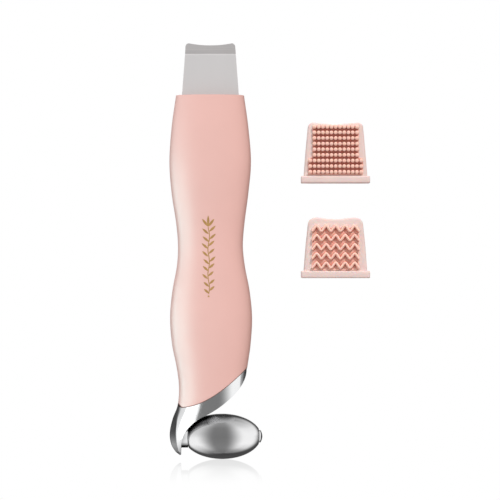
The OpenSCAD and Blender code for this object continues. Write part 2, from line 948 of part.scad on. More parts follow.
module ridge_cover() {
    color(pale_pink)
        translate([cover_at[0], 0, cover_at[1] - ridge_drop])
            sleeve(ridge_cover_corner);
}

// A band along a zigzag line, centred, as thick as t
function zigzag(count, step, rise, t) =
    let (
        line = [for (k = [0:2 * count]) [step * (k - count) / 2, rise * (k % 2)]],
        upper = [for (p = line) p + [0, t / 2]],
        lower = [for (k = [2 * count:-1:0]) line[k] - [0, t / 2]]
    )
    concat(upper, lower);

// Thin bed moulded onto the sleeve's front, with rows of zigzag ridges standing on it
module ridge_field() {
    face = -cover_t / 2;
    w = ridge_peaks * ridge_pitch[0] + 2 * field_margin;
    low = rim_h + ridge_first - ridge_t / 2 - field_margin;
    high = rim_h + ridge_first + (ridge_rows - 1) * ridge_pitch[1] + ridge_rise + ridge_t / 2 + field_margin;
    color(rose)
        translate([cover_at[0], 0, cover_at[1] - ridge_drop]) {
            translate([-w / 2, face - field_t, low])
                cube([w, field_t, high - low]);
            for (row = [0:ridge_rows - 1])
                translate([0, 0, rim_h + ridge_first + ridge_pitch[1] * row])
                    upright(face - relief, face - field_t + eps)
                        polygon(zigzag(ridge_peaks, ridge_pitch[0], ridge_rise, ridge_t * 1.3));
        }
}

front_shell();
back_shell();
mouth_seal();
blade();
transducer();
damping_pads();
blade_screws();
transducer_leads();
inner_frame();
main_board();
board_parts();
tact_switches();
status_leds();
light_pipes();
charging_socket();
battery();
battery_leads();
frame_screws();
shell_screws();
screw_plugs();
roller_arm();
arm_screws();
neck_collar();
axle();
thrust_washer();
axle_cap();
roller();
roller_bushes();
power_button();
mode_button();
nub_cover();
nub_field();
ridge_cover();
ridge_field();
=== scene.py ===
"""Looks of the skin scrubber: smooth shells, chrome arm and roller, steel blade and silicone covers.

Lengths are in millimetres until a mesh is made. The frame is the CAD's: +Z up the handle, -Y in front.
"""
import math

import bmesh
import bpy
from mathutils import Matrix, Vector


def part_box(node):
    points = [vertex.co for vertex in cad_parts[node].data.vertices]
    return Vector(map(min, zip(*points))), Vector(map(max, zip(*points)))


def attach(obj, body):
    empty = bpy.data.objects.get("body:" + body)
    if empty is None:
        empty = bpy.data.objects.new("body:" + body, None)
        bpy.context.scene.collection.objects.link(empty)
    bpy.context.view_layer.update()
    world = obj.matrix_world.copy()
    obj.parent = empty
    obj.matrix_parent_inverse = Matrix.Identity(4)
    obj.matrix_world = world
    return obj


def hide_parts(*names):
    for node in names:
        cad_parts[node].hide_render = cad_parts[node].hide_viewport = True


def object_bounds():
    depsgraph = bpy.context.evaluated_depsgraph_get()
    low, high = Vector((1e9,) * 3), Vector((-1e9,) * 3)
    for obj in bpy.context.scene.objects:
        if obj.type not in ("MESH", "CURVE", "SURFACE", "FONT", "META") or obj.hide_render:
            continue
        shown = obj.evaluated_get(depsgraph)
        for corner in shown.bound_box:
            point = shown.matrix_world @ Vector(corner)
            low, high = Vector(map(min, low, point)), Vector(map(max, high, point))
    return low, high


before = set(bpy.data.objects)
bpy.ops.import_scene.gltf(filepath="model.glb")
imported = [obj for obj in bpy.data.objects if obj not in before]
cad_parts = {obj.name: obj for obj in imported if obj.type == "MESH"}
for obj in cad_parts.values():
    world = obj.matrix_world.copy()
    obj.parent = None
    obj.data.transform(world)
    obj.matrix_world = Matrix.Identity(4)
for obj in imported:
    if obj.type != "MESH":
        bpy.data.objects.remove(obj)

MM = 0.001
cad_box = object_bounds()


# --- the handle's surface, as in the CAD ---

MOUTH_Z = 67.7
WALL = 1.8
SQUARENESS = 2.4
SEAM_GAP = 0.2
PART_GAP = 0.1
SEAM_LEFT = (-14.4, -72.3)
SEAM_RIGHT = (16.3, -54.8)
SEAM_LEAN = 0.28
HOOK_X, HOOK_RISE = -12.7, 1.6
ARM_TIP = (-13.7, -94.1)

# The blade's bend; how dark the painted shade on the lip above it is, and how streaky the lip is; and how
# pale the painted highlight along the bend is
BEND_Z = MOUTH_Z + 18.7
LIP_SHADE, LIP_STREAKS, BEND_PAINTED_HIGHLIGHT = 0.17, 0.3, 0.12

# The silicone covers
COVER_T = 5.4
COVER_ROUND = 0.9
RIM_H, RIM_T = 3.2, 8.0
RIM_CORNER, RIM_ROUND, RIM_LAP = 0.45, 0.6, 0.4
RELIEF = 1.7
FOOT_W = 28.6
TOP_W = 24.8
COVER_WALL = 0.9
TOP_DIP = 0.75

# (height, value), running down the handle: side outlines and half depth
LEFT_LINE = [
    (MOUTH_Z, -15.5), (54, -17.4), (38, -18.45), (24, -17.5), (10, -15.4), (0, -14.6), (-9, -15.1),
    (-20, -17.1), (-32, -18.15), (-44, -17.3), (-54, -15.3), (-61, -14.3), (-67, -14.2), (-72, -14.9),
    (-78, -17.1), (-84, -18.3), (-89, -17.7), (-92.5, -15.7), (ARM_TIP[1], ARM_TIP[0]),
]
RIGHT_LINE = [
    (MOUTH_Z, 15.1), (54, 17), (38, 18.25), (24, 17.1), (10, 15.3), (0, 14.6), (-9, 15.5), (-20, 17.6),
    (-32, 18.75), (-44, 18.1), (-52, 17), (-56, 16.4), (-60, 16), (-66, 15.8), (-72, 16.2), (-78, 16.8),
    (ARM_TIP[1], 17),
]
DEPTH_LINE = [
    (MOUTH_Z, 7.2), (54, 9.2), (38, 10.4), (20, 10.1), (0, 9.4), (-16, 10.4), (-32, 11.2), (-46, 10.9),
    (-58, 10.2), (-72, 9.4), (-80, 8.8), (-86, 7.6), (-90.5, 5.4), (ARM_TIP[1], 2.2),
]


def mix(a, b, t):
    return a + (b - a) * t


def slope(stations, i):
    a, b = stations[max(i - 1, 0)], stations[min(i + 1, len(stations) - 1)]
    return (b[1] - a[1]) / (b[0] - a[0])


def curve(stations, z):
    """A smooth curve through stations that run downwards in z."""
    i = 0
    while i < len(stations) - 2 and z < stations[i + 1][0]:
        i += 1
    h = stations[i + 1][0] - stations[i][0]
    t = (z - stations[i][0]) / h
    return (
        (2 * t**3 - 3 * t**2 + 1) * stations[i][1]
        + (t**3 - 2 * t**2 + t) * h * slope(stations, i)
        + (3 * t**2 - 2 * t**3) * stations[i + 1][1]
        + (t**3 - t**2) * h * slope(stations, i + 1)
    )


def half_width(z):
    return (curve(RIGHT_LINE, z) - curve(LEFT_LINE, z)) / 2


def centre_x(z):
    return (curve(RIGHT_LINE, z) + curve(LEFT_LINE, z)) / 2


def skin_y(x, z, inset=0.0, squareness=SQUARENESS):
    """Distance of the surface from the middle plane."""
    u = min(1.0, abs(x - centre_x(z)) / (half_width(z) - inset))
    return (curve(DEPTH_LINE, z) - inset) * (1 - u**squareness) ** (1 / squareness)


def seam_z(x):
    """The seam between the shells and the arm. It rises to the right and hooks up at the far left."""
    s = (x - SEAM_LEFT[0]) / (SEAM_RIGHT[0] - SEAM_LEFT[0])
    rise = (1 + SEAM_LEAN) * s**2 - SEAM_LEAN * s**3
    hook = HOOK_RISE * max(0.0, (HOOK_X - x) / (HOOK_X - SEAM_LEFT[0]))
    return SEAM_LEFT[1] + (SEAM_RIGHT[1] - SEAM_LEFT[1]) * rise + hook


def section(angle, z, inset=0.0):
    """A point of the front half section. Its angle goes from 0 on the left to pi on the right."""
    c, s, p = math.cos(angle), max(0.0, math.sin(angle)), 2 / SQUARENESS
    x = centre_x(z) - (half_width(z) - inset) * math.copysign(abs(c) ** p, c)
    y = -max(PART_GAP / 2, (curve(DEPTH_LINE, z) - inset) * s**p)
    return Vector((x, y, z))


def foot_z(angle, inset):
    """The height at which a column of the section meets the seam."""
    z = -64.0
    for _ in range(8):
        z = seam_z(section(angle, z, inset).x) + SEAM_GAP / 2
    return z


def box(node):
    """A CAD node's lowest and highest corners, in millimetres."""
    low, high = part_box(node)
    return low / MM, high / MM


def middle(node):
    low, high = box(node)
    return (low + high) / 2


# The roller's axis, middle, half length and radius, and the clearance round it
AXIS_Z = middle("roller").z
ROLLER_X = 5.3
ROLLER_A, ROLLER_R = 17.5, 10.2
ROLLER_GAP = 0.6
# Where the painted shade on the arm's wall, black close to the roller, ends, as shares of that clearance
PAINTED_WALL_SHADE = (1.02, 1.14)
# The boss beside the roller: how far it leans in, and where the painted shade on its underside ends, from
# the axis
NECK_LEAN = 0.13
NECK_SHADE = (-4.2, -3.4)


# --- mesh helpers ---


def add_object(name, data):
    obj = bpy.data.objects.new(name, data)
    bpy.context.scene.collection.objects.link(obj)
    return obj


def make_mesh(name, points, faces, smooth=True):
    """A new object from points in millimetres and faces as index lists. The faces turn outwards."""
    data = bpy.data.meshes.new(name)
    data.from_pydata([Vector(p) * MM for p in points], [], faces)
    bm = bmesh.new()
    bm.from_mesh(data)
    bmesh.ops.remove_doubles(bm, verts=bm.verts, dist=1e-7)
    bmesh.ops.recalc_face_normals(bm, faces=bm.faces)
    bm.to_mesh(data)
    bm.free()
    for p in data.polygons:
        p.use_smooth = smooth
    return add_object(name, data)


def tube_faces(rings, count):
    """Quads that join rings of count points each, listed ring by ring, into an open tube."""
    faces = []
    for i in range(rings - 1):
        a, b = i * count, (i + 1) * count
        faces += [(a + j, a + (j + 1) % count, b + (j + 1) % count, b + j) for j in range(count)]
    return faces


def closed_faces(rings, count):
    """The same tube with a face over each end."""
    last = (rings - 1) * count
    return [*tube_faces(rings, count), tuple(range(count)), tuple(range(last, last + count))]


def apply_modifiers(obj):
    dg = bpy.context.evaluated_depsgraph_get()
    data = bpy.data.meshes.new_from_object(obj.evaluated_get(dg))
    old, obj.data = obj.data, data
    obj.modifiers.clear()
    bpy.data.meshes.remove(old)
    return obj


def smooth_by_angle(obj, degrees=30):
    """Smooth shading, sharp only where faces meet at more than this angle."""
    data = obj.data
    for p in data.polygons:
        p.use_smooth = True
    bm = bmesh.new()
    bm.from_mesh(data)
    for e in bm.edges:
        e.smooth = len(e.link_faces) == 2 and e.calc_face_angle(0) < math.radians(degrees)
    bm.to_mesh(data)
    bm.free()
    return obj


def bevel(obj, width, segments, degrees):
    """Rounds the edges where faces meet at more than this angle."""
    mod = obj.modifiers.new("edge", "BEVEL")
    mod.width, mod.segments, mod.limit_method = width * MM, segments, "ANGLE"
    mod.angle_limit = math.radians(degrees)
    return mod


def combine(obj, operation, *others):
    """Adds the others' shapes to obj (UNION) or takes them out (DIFFERENCE), and removes the others."""
    for other in others:
        mod = obj.modifiers.new("combine", "BOOLEAN")
        mod.operation, mod.solver, mod.object = operation, "EXACT", other
        apply_modifiers(obj)
        bpy.data.objects.remove(other)
    return obj


def cut(obj, *cutters):
    return combine(obj, "DIFFERENCE", *cutters)


def join(name, *objs):
    """One object made of several that stand at the origin and may share materials."""
    bm = bmesh.new()
    slots = []
    for o in objs:
        start = len(bm.faces)
        bm.from_mesh(o.data)
        bm.faces.ensure_lookup_table()
        mats = list(o.data.materials) or [None]
        for m in mats:
            if m not in slots:
                slots.append(m)
        for f in bm.faces[start:]:
            f.material_index = slots.index(mats[f.material_index])
    data = bpy.data.meshes.new(name)
    bm.to_mesh(data)
    bm.free()
    for m in slots:
        if m:
            data.materials.append(m)
    for o in objs:
        bpy.data.objects.remove(o)
    return add_object(name, data)


def arc(centre, radii, start, sweep, turns):
    """Points round an ellipse of these radii, from the angle start on over sweep, in degrees."""
    angles = [math.radians(start + sweep * k / turns) for k in range(turns + 1)]
    return [(centre[0] + radii[0] * math.cos(a), centre[1] + radii[1] * math.sin(a)) for a in angles]


def lathe(name, profile, at, axis, segments):
    """A solid turned about a line through at, along X or Y. The profile is (radius, place on the line)."""
    along = Vector((1, 0, 0) if axis == "X" else (0, 1, 0))
    side = Vector((0, 0, 1))
    other = along.cross(side)
    points, faces, rings = [], [], []
    for r, d in profile:
        centre = Vector(at) + along * d
        if r < 1e-6:
            rings.append([len(points)])
            points.append(centre)
            continue
        rings.append(list(range(len(points), len(points) + segments)))
        for k in range(segments):
            a = 2 * math.pi * k / segments
            points.append(centre + r * (math.cos(a) * side + math.sin(a) * other))
    for a, b in zip(rings, rings[1:]):
        for k in range(segments):
            n = (k + 1) % segments
            face = {a[k % len(a)], a[n % len(a)], b[n % len(b)], b[k % len(b)]}
            if len(face) == 4:
                faces.append((a[k], a[n], b[n], b[k]))
            elif len(face) == 3:
                faces.append((a[0], b[n], b[k]) if len(a) == 1 else (a[k], a[n], b[0]))
    return make_mesh(name, points, faces)


def coat(obj, key):
    obj.data.materials.clear()
    obj.data.materials.append(MATERIALS[key])


def finish_piece(obj, body, key=None, replaces=()):
    if key:
        coat(obj, key)
    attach(obj, body)
    if replaces:
        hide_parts(*replaces)


# --- materials ---


class Nodes:
    """A short way to write a node tree."""

    def __init__(self, tree):
        self.tree = tree

    def add(self, kind, **values):
        node = self.tree.nodes.new(kind)
        for key, value in values.items():
            if key[0].isupper():
                node.inputs[key.replace("_", " ")].default_value = value
            else:
                setattr(node, key, value)
        return node

    def link(self, a, b):
        self.tree.links.new(a, b)

    def math(self, operation, a, b=None):
        """Arithmetic on sockets and plain numbers."""
        node = self.add("ShaderNodeMath", operation=operation)
        for socket, value in zip(node.inputs, (a, b)):
            if isinstance(value, (int, float)):
                socket.default_value = value
            elif value is not None:
                self.link(value, socket)
        return node.outputs[0]

    def product(self, *factors):
        total = factors[0]
        for factor in factors[1:]:
            total = self.math("MULTIPLY", total, factor)
        return total

    def step(self, value, start, end):
        """Goes smoothly from 0 at start to 1 at end, which may lie on either side of it."""
        node = self.add("ShaderNodeMapRange", interpolation_type="SMOOTHSTEP")
        node.inputs["From Min"].default_value, node.inputs["From Max"].default_value = start, end
        self.link(value, node.inputs["Value"])
        return node.outputs["Result"]

    def place(self):
        """The point in the piece's own space, in metres."""
        return self.add("ShaderNodeTexCoord").outputs["Object"]

    def split(self, vector):
        node = self.add("ShaderNodeSeparateXYZ")
        self.link(vector, node.inputs["Vector"])
        return node.outputs

    def noise(self, scale, detail=2.0, stretch=(1, 1, 1)):
        """Noise in the piece's own space, in cycles per metre."""
        mapping = self.add("ShaderNodeMapping", Scale=stretch)
        texture = self.add("ShaderNodeTexNoise", Scale=scale, Detail=detail)
        self.link(self.place(), mapping.inputs["Vector"])
        self.link(mapping.outputs["Vector"], texture.inputs["Vector"])
        return texture.outputs["Fac"]

    def ramp(self, fac, stops):
        """A colour ramp, from (place, colour or grey) stops."""
        node = self.add("ShaderNodeValToRGB")
        elements = node.color_ramp.elements
        while len(elements) < len(stops):
            elements.new(0.5)
        for e, (place, value) in zip(elements, stops):
            e.position = place
            e.color = (*value, 1) if isinstance(value, tuple) else (value, value, value, 1)
        self.link(fac, node.inputs["Fac"])
        return node.outputs["Color"]

    def spread(self, fac, low, high):
        """Noise, which stays between 0.3 and 0.7, spread from low to high."""
        node = self.add("ShaderNodeMapRange")
        node.inputs["From Min"].default_value, node.inputs["From Max"].default_value = 0.3, 0.7
        node.inputs["To Min"].default_value, node.inputs["To Max"].default_value = low, high
        self.link(fac, node.inputs["Value"])
        return node.outputs["Result"]

    def bump(self, height, shader, strength, distance):
        node = self.add("ShaderNodeBump", Strength=strength, Distance=distance)
        self.link(height, node.inputs["Height"])
        self.link(node.outputs["Normal"], shader.inputs["Normal"])


ROUGH_VARY = 0.15


def material(name, colour, roughness, metallic=0.0, vary=0.03, patch=120, grain=0.0, grain_scale=3000,
             stretch=(1, 1, 1), **sockets):
    """A surface whose colour and roughness wander a little over it, with a fine grain in relief."""
    mat = bpy.data.materials.new(name)
    mat.use_nodes = True
    n = Nodes(mat.node_tree)
    shader = mat.node_tree.nodes["Principled BSDF"]
    shader.inputs["Metallic"].default_value = metallic
    for key, value in sockets.items():
        shader.inputs[key.replace("_", " ")].default_value = value
    dark = tuple(c * (1 - vary) for c in colour)
    light = tuple(min(1.0, c * (1 + vary)) for c in colour)
    tone = n.ramp(n.noise(patch, 3, stretch), [(0.35, dark), (0.65, light)])
    n.link(tone, shader.inputs["Base Color"])
    low, high = roughness * (1 - ROUGH_VARY), roughness * (1 + ROUGH_VARY)
    rough = n.spread(n.noise(patch * 6, 3, stretch), low, high)
    n.link(rough, shader.inputs["Roughness"])
    if grain:
        n.bump(n.noise(grain_scale, 2, stretch), shader, grain, 0.0001)
    return mat


def srgb(r, g, b):
    """A colour given as it shows on a screen, 0 to 255. None of these colours is near black."""
    return tuple(((c / 255 + 0.055) / 1.055) ** 2.4 for c in (r, g, b))


def relief_material():
    """Rosy silicone with painted shade: pale where it stands free, dark red where it is hemmed in between
    nubs or ridges.
    """
    mat = material(
        "relief_silicone", (0.8, 0.5, 0.4), 0.5, grain=0.05, grain_scale=2400, Subsurface_Weight=0.1,
        Subsurface_Scale=0.0008, Specular_IOR_Level=0.4,
    )
    n = Nodes(mat.node_tree)
    # Painted shade: ambient occlusion darkens the colour between the nubs and ridges
    free = n.add("ShaderNodeAmbientOcclusion", samples=8, only_local=True, Distance=1.8 * MM)
    uneven = n.product(n.math("SUBTRACT", n.noise(700, 3), 0.5), 0.1)
    # From painted shade, dark red-brown, to the silicone's own pale colour
    stops = [(0.08, srgb(148, 75, 62)), (0.46, srgb(216, 133, 115)), (0.92, srgb(255, 209, 193))]
    colour = n.ramp(n.math("ADD", free.outputs["AO"], uneven), stops)
    n.link(colour, mat.node_tree.nodes["Principled BSDF"].inputs["Base Color"])
    return mat


def paint_shade(mat, n, share, least):
    """Paints shade: scales a material's base colour from least, where share is 0, to all of it, where
    share is 1.
    """
    scale_colour(mat, n, n.math("ADD", n.product(share, 1 - least), least))


def scale_colour(mat, n, factor):
    """Multiplies a material's base colour by a factor that varies over the surface."""
    colour = mat.node_tree.nodes["Principled BSDF"].inputs["Base Color"]
    scaled = n.add("ShaderNodeVectorMath", operation="SCALE")
    n.link(colour.links[0].from_socket, scaled.inputs[0])
    n.link(factor, scaled.inputs["Scale"])
    n.link(scaled.outputs["Vector"], colour)


def arm_metal(name):
    return material(
        name, (0.84, 0.845, 0.85), 0.14, metallic=1.0, vary=0.01, patch=80, grain=0.015,
        grain_scale=1500,
    )


def arm_wall_material():
    """Duller metal for the arm's inner wall, with painted shade: black where the wall closes round the
    roller.
    """
    mat = material("arm_inner_wall", (0.5, 0.5, 0.505), 0.28, metallic=1.0, vary=0.02, grain=0.05)
    n = Nodes(mat.node_tree)
    from_roller = n.add("ShaderNodeMapping", vector_type="TEXTURE")
    across, along = ROLLER_R + ROLLER_GAP, ROLLER_A + ROLLER_GAP
    from_roller.inputs["Location"].default_value = Vector((ROLLER_X, 0, AXIS_Z)) * MM
    from_roller.inputs["Scale"].default_value = Vector((along, across, across)) * MM
    n.link(n.place(), from_roller.inputs["Vector"])
    away = n.add("ShaderNodeVectorMath", operation="LENGTH")
    n.link(from_roller.outputs["Vector"], away.inputs[0])
    # Painted shade: the wall's colour goes black close to the roller
    paint_shade(mat, n, n.step(away.outputs["Value"], *PAINTED_WALL_SHADE), 0.02)
    return mat


def neck_material():
    """The arm's chrome, with painted shade: black along the boss's underside."""
    mat = arm_metal("neck_chrome")
    n = Nodes(mat.node_tree)
    start, end = ((AXIS_Z + z) * MM for z in NECK_SHADE)
    # Painted shade: black under the boss
    paint_shade(mat, n, n.step(n.split(n.place())["Z"], start, end), 0.03)
    return mat


def blade_material():
    """Satin steel, ground along the plate and across the lip, with painted shade on the lip and a painted
    highlight, a pale line along the bend.
    """
    mat = material(
        "blade_steel", srgb(221, 221, 222), 0.45, metallic=0.25, vary=0.012, patch=90, grain=0.06,
        grain_scale=2600, stretch=(1, 1, 0.06), Anisotropic=0.35,
    )
    n = Nodes(mat.node_tree)
    height = n.split(n.place())["Z"]
    lip = n.step(height, (BEND_Z - 0.1) * MM, (BEND_Z + 0.15) * MM)
    streaks = n.product(lip, n.math("SUBTRACT", n.noise(1500, 2, (0.01, 1, 1)), 0.5), LIP_STREAKS)
    # Painted highlight: a pale line just below the bend
    near = n.step(height, (BEND_Z - 0.8) * MM, (BEND_Z - 0.3) * MM)
    line = n.product(near, n.math("SUBTRACT", 1.0, lip), BEND_PAINTED_HIGHLIGHT)
    # Painted shade: the lip is darker than the plate
    lip_painted_shade = n.math("SUBTRACT", 1.0, n.product(lip, LIP_SHADE))
    scale_colour(mat, n, n.math("ADD", lip_painted_shade, n.math("ADD", streaks, line)))
    return mat


MATERIALS = {
    "pearl": material(
        "pearl_pink", srgb(237, 191, 183), 0.42, vary=0.012, patch=60, grain=0.03, grain_scale=2600,
        Coat_Weight=0.5, Coat_Roughness=0.55, Specular_IOR_Level=0.4,
    ),
    "seal": material("seal_pink", srgb(205, 160, 150), 0.62, grain=0.2, grain_scale=2200, vary=0.04),
    "blade": blade_material(),
    "chrome": arm_metal("arm_chrome"),
    "neck": neck_material(),
    "wall": arm_wall_material(),
    "mirror": material(
        "roller_chrome", (0.82, 0.82, 0.825), 0.13, metallic=1.0, vary=0.01, patch=80, grain=0.01,
        grain_scale=900,
    ),
    "steel": material("screw_steel", (0.5, 0.5, 0.52), 0.3, metallic=1.0, grain=0.1, vary=0.05),
    "silicone": material(
        "cover_silicone", srgb(235, 213, 208), 0.55, vary=0.02, patch=160, grain=0.04, grain_scale=2400,
        Subsurface_Weight=0.12, Subsurface_Scale=0.002, Specular_IOR_Level=0.3,
    ),
    "relief": relief_material(),
    "gold": material(
        "gold_ink", srgb(200, 158, 98), 0.45, metallic=0.3, vary=0.08, patch=400, grain=0.05,
    ),
    "white": material("moulded_white", srgb(226, 222, 214), 0.5, grain=0.1),
    "ceramic": material("ceramic_white", srgb(230, 228, 218), 0.4, grain=0.1, vary=0.04),
    "gasket": material("seam_gasket", srgb(112, 80, 72), 0.7, vary=0.06, patch=500, grain=0.1),
    "rubber": material("pad_grey", srgb(70, 70, 72), 0.75, grain=0.25),
    "frame": material("frame_grey", srgb(176, 180, 184), 0.55, grain=0.15),
    "board": material("board_green", srgb(28, 92, 60), 0.38, vary=0.15, patch=900),
    "chip": material("chip_black", srgb(34, 34, 36), 0.5, grain=0.15),
    "wire": material("wire_red", srgb(150, 34, 28), 0.42, vary=0.05),
    "foil": material(
        "pouch_foil", (0.62, 0.64, 0.68), 0.32, metallic=1.0, vary=0.05, grain=0.2, grain_scale=900,
    ),
    "lamp": material("lamp_ivory", srgb(238, 234, 210), 0.3, vary=0.03),
    "clear": material(
        "pipe_clear", (0.95, 0.96, 0.97), 0.1, vary=0.01, Transmission_Weight=0.5, IOR=1.49,
    ),
}


# --- shells ---

ACROSS = 108
DOWN = 150
SHELL_EDGE = 0.28


def half_shell(name, side):
    """One half of the handle's wall, closed, on the front (side -1) or the back (side 1)."""
    columns = [(math.pi * j / ACROSS, 0.0) for j in range(ACROSS + 1)]
    columns += [(a, WALL) for a, _ in reversed(columns)]
    feet = [foot_z(a, inset) for a, inset in columns]
    points = []
    for i in range(DOWN + 1):
        for (a, inset), foot in zip(columns, feet):
            p = section(a, mix(MOUTH_Z, foot, i / DOWN), inset)
            points.append((p.x, -side * p.y, p.z))
    n = len(columns)
    faces = tube_faces(DOWN + 1, n)
    last = DOWN * n
    for j in range(ACROSS):
        k = n - 1 - j
        faces.append((j, j + 1, k - 1, k))
        faces.append((last + j, last + k, last + k - 1, last + j + 1))
    return make_mesh(name, points, faces)


def make_shells():
    for side, node in ((-1, "front_shell"), (1, "back_shell")):
        shell = half_shell(node + "_skin", side)
        bevel(shell, SHELL_EDGE, 3, 40)
        apply_modifiers(shell)
        if side > 0:
            cut(shell, *back_cutters())
        shell.visible_glossy = False
        finish_piece(smooth_by_angle(shell), "handle", "pearl", [node])


# --- places taken from the frame ---


def solids(node):
    """The centre and size, in millimetres, of each separate solid of a node, from the top down."""
    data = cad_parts[node].data
    bm = bmesh.new()
    bm.from_mesh(data)
    bmesh.ops.remove_doubles(bm, verts=bm.verts, dist=1e-6)
    left, found = set(bm.verts), []
    while left:
        heap, group = [left.pop()], []
        while heap:
            v = heap.pop()
            group.append(v.co / MM)
            for e in v.link_edges:
                other = e.other_vert(v)
                if other in left:
                    left.remove(other)
                    heap.append(other)
        low = Vector([min(p[k] for p in group) for k in range(3)])
        high = Vector([max(p[k] for p in group) for k in range(3)])
        found.append(((low + high) / 2, high - low))
    bm.free()
    return sorted(found, key=lambda s: -s[0].z)


# The openings in the back shell: the room round what fills them, the flare at the skin, and the cuts'
# start, from the middle plane, and reach past the skin
BUTTON_CLEARANCE, SOCKET_CLEARANCE, PLUG_CLEARANCE = 0.25, 0.4, 0.05
LIGHT_HOLE_R, LIGHT_PIPE_LEAST = 0.95, 3
HOLE_FLARE, SOCKET_FLARE = 0.3, 0.5
CUT_START, CUT_PAST = 5, 3


def round_cutter(centre, radius):
    """A hole along Y through the back shell, flared a little where it meets the surface."""
    skin = skin_y(centre.x, centre.z)
    wide = radius + HOLE_FLARE
    profile = [
        (0, CUT_START), (radius, CUT_START), (radius, skin - HOLE_FLARE), (wide, skin + 0.05),
        (wide, skin + CUT_PAST), (0, skin + CUT_PAST),
    ]
    return lathe("cutter", profile, (centre.x, 0, centre.z), "Y", 64)


def slot_outline(w, h, grow, turns=12):
    """A bar with half-round ends, centred, as (x, z) points."""
    r = h / 2 + grow
    reach = (w - h) / 2
    return arc((reach, 0), (r, r), -90, 180, turns) + arc((-reach, 0), (r, r), 90, 180, turns)


def prism(name, rings):
    """A closed solid from rings of (x, z) points, each with its y."""
    points = [(x, y, z) for ring, y in rings for x, z in ring]
    return make_mesh(name, points, closed_faces(len(rings), len(rings[0][0])))


def socket_cutter():
    low, high = box("charging_socket")
    centre_z = (low.z + high.z) / 2
    w, h = high.x - low.x + 2 * SOCKET_CLEARANCE, high.z - low.z + 2 * SOCKET_CLEARANCE
    skin, flare = skin_y(0, centre_z), SOCKET_FLARE
    rings = []
    for grow, y in ((0, CUT_START), (0, skin - flare), (flare, skin + 0.05), (flare, skin + CUT_PAST)):
        rings.append(([(x, z + centre_z) for x, z in slot_outline(w, h, grow)], y))
    return prism("cutter", rings)


def back_cutters():
    cutters = [socket_cutter()]
    for node in ("power_button", "mode_button"):
        low, high = box(node)
        cutters.append(round_cutter(middle(node), (high.x - low.x) / 2 + BUTTON_CLEARANCE))
    for centre, size in solids("light_pipes"):
        if size.y > LIGHT_PIPE_LEAST:
            cutters.append(round_cutter(centre, LIGHT_HOLE_R))
    for centre, size in solids("screw_plugs"):
        cutters.append(round_cutter(centre, size.x / 2 + PLUG_CLEARANCE))
    return cutters


make_shells()


# --- CAD nodes that stay, with their finish ---

KEPT = {
    "steel": "blade_screws charging_socket frame_screws shell_screws arm_screws axle",
    "ceramic": "transducer",
    "rubber": "damping_pads",
    "wire": "transducer_leads battery_leads",
    "frame": "inner_frame",
    "board": "main_board",
    "chip": "board_parts tact_switches",
    "lamp": "status_leds",
    "clear": "light_pipes",
    "foil": "battery",
    "pearl": "screw_plugs",
    "white": "thrust_washer roller_bushes",
    "seal": "mouth_seal",
    "blade": "blade",
    "chrome": "roller_arm neck_collar power_button mode_button",
    "mirror": "axle_cap roller",
    "silicone": "nub_cover ridge_cover",
    "relief": "nub_field ridge_field",
}


def dress_kept_nodes():
    for key, nodes in KEPT.items():
        for node in nodes.split():
            coat(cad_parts[node], key)


dress_kept_nodes()


# --- chrome arm ---

# The crease between the arm's side face and its front face, as (height, x)
CREASE = [
    (-72.4, -12.7), (-76.4, -14.3), (-80, -15), (-83.5, -15.3), (-87, -15.1), (-90.2, -14.6),
    (-93.4, -13.9),
]
# Rungs under the seam and down to the tip, and points across the front face, the inner wall and the side
ARM_RUNGS = (96, 64)
FRONT_STEPS, WALL_STEPS, SIDE_STEPS = 30, 20, 16
# The power that crowds the front face's points towards its outer edge, and the rounding of the edges
FRONT_CROWD, ARM_ROUND = 1.3, 0.2
# Faces of the inner wall point less than this to the front or back, and less than this to the left
WALL_FRONTWARD, WALL_LEFTWARD = 0.72, 0.5
# Where the parts of the inner edge meet, as shares of its length
UNDER_END, LAP_END = 0.375, 0.6875
# The tenon's ends, its heights from the seam, and the arm screws' holes as (radius, start, end) along Y
TENON_X = (11.2, -10.4)
TENON_HEIGHTS = (11, 6, 0, -1.5)
SCREW_HOLES = ((1.35, -12, 12), (2.8, -12, -5.8), (2.2, 4, 12))
# The gasket's depth below the skin, from and to, and half its height
GASKET_INSETS = (0.05, 1.0)
GASKET_HALF = 0.3


def bezier(p, t):
    weights = ((1 - t) ** 3, 3 * (1 - t) ** 2 * t, 3 * (1 - t) * t**2, t**3)
    return tuple(sum(w * q[k] for w, q in zip(weights, p)) for k in (0, 1))


def round_roller(degrees):
    along, across = ROLLER_A + ROLLER_GAP, ROLLER_R + ROLLER_GAP
    a = math.radians(degrees)
    return (ROLLER_X + along * math.cos(a), AXIS_Z + across * math.sin(a))


def arm_inner(t):
    """The arm's inner edge on its front and back faces, for t from 0 to 1.

    It runs under the collar, laps a little over the roller's left shoulder, and goes down to the tip.
    """
    under = [(SEAM_RIGHT[0], SEAM_RIGHT[1] - 0.9), (16.3, -62), (8.7, -70.2), round_roller(114)]
    lap = [round_roller(114), (-5.2, -76.9), (-9.3, -80.2), (-11.4, -83.5)]
    foot = [lap[-1], (-12.6, -85.6), (-13.2, -88.5), (ARM_TIP[0] + 0.5, ARM_TIP[1] + 0.3)]
    if t < UNDER_END:
        return bezier(under, t / UNDER_END)
    if t < LAP_END:
        return bezier(lap, (t - UNDER_END) / (LAP_END - UNDER_END))
    return bezier(foot, (t - LAP_END) / (1 - LAP_END))


def clear_of_roller(x, y, z):
    """A point of the arm's inner wall, moved out of the clearance round the roller where it must be."""
    a, r = ROLLER_A + ROLLER_GAP, ROLLER_R + ROLLER_GAP
    dx, dz = x - ROLLER_X, z - AXIS_Z
    grow = math.sqrt(max(1.0, (1 - (y / r) ** 2) / ((dx / a) ** 2 + (dz / r) ** 2)))
    return (ROLLER_X + dx * grow, y, AXIS_Z + dz * grow)


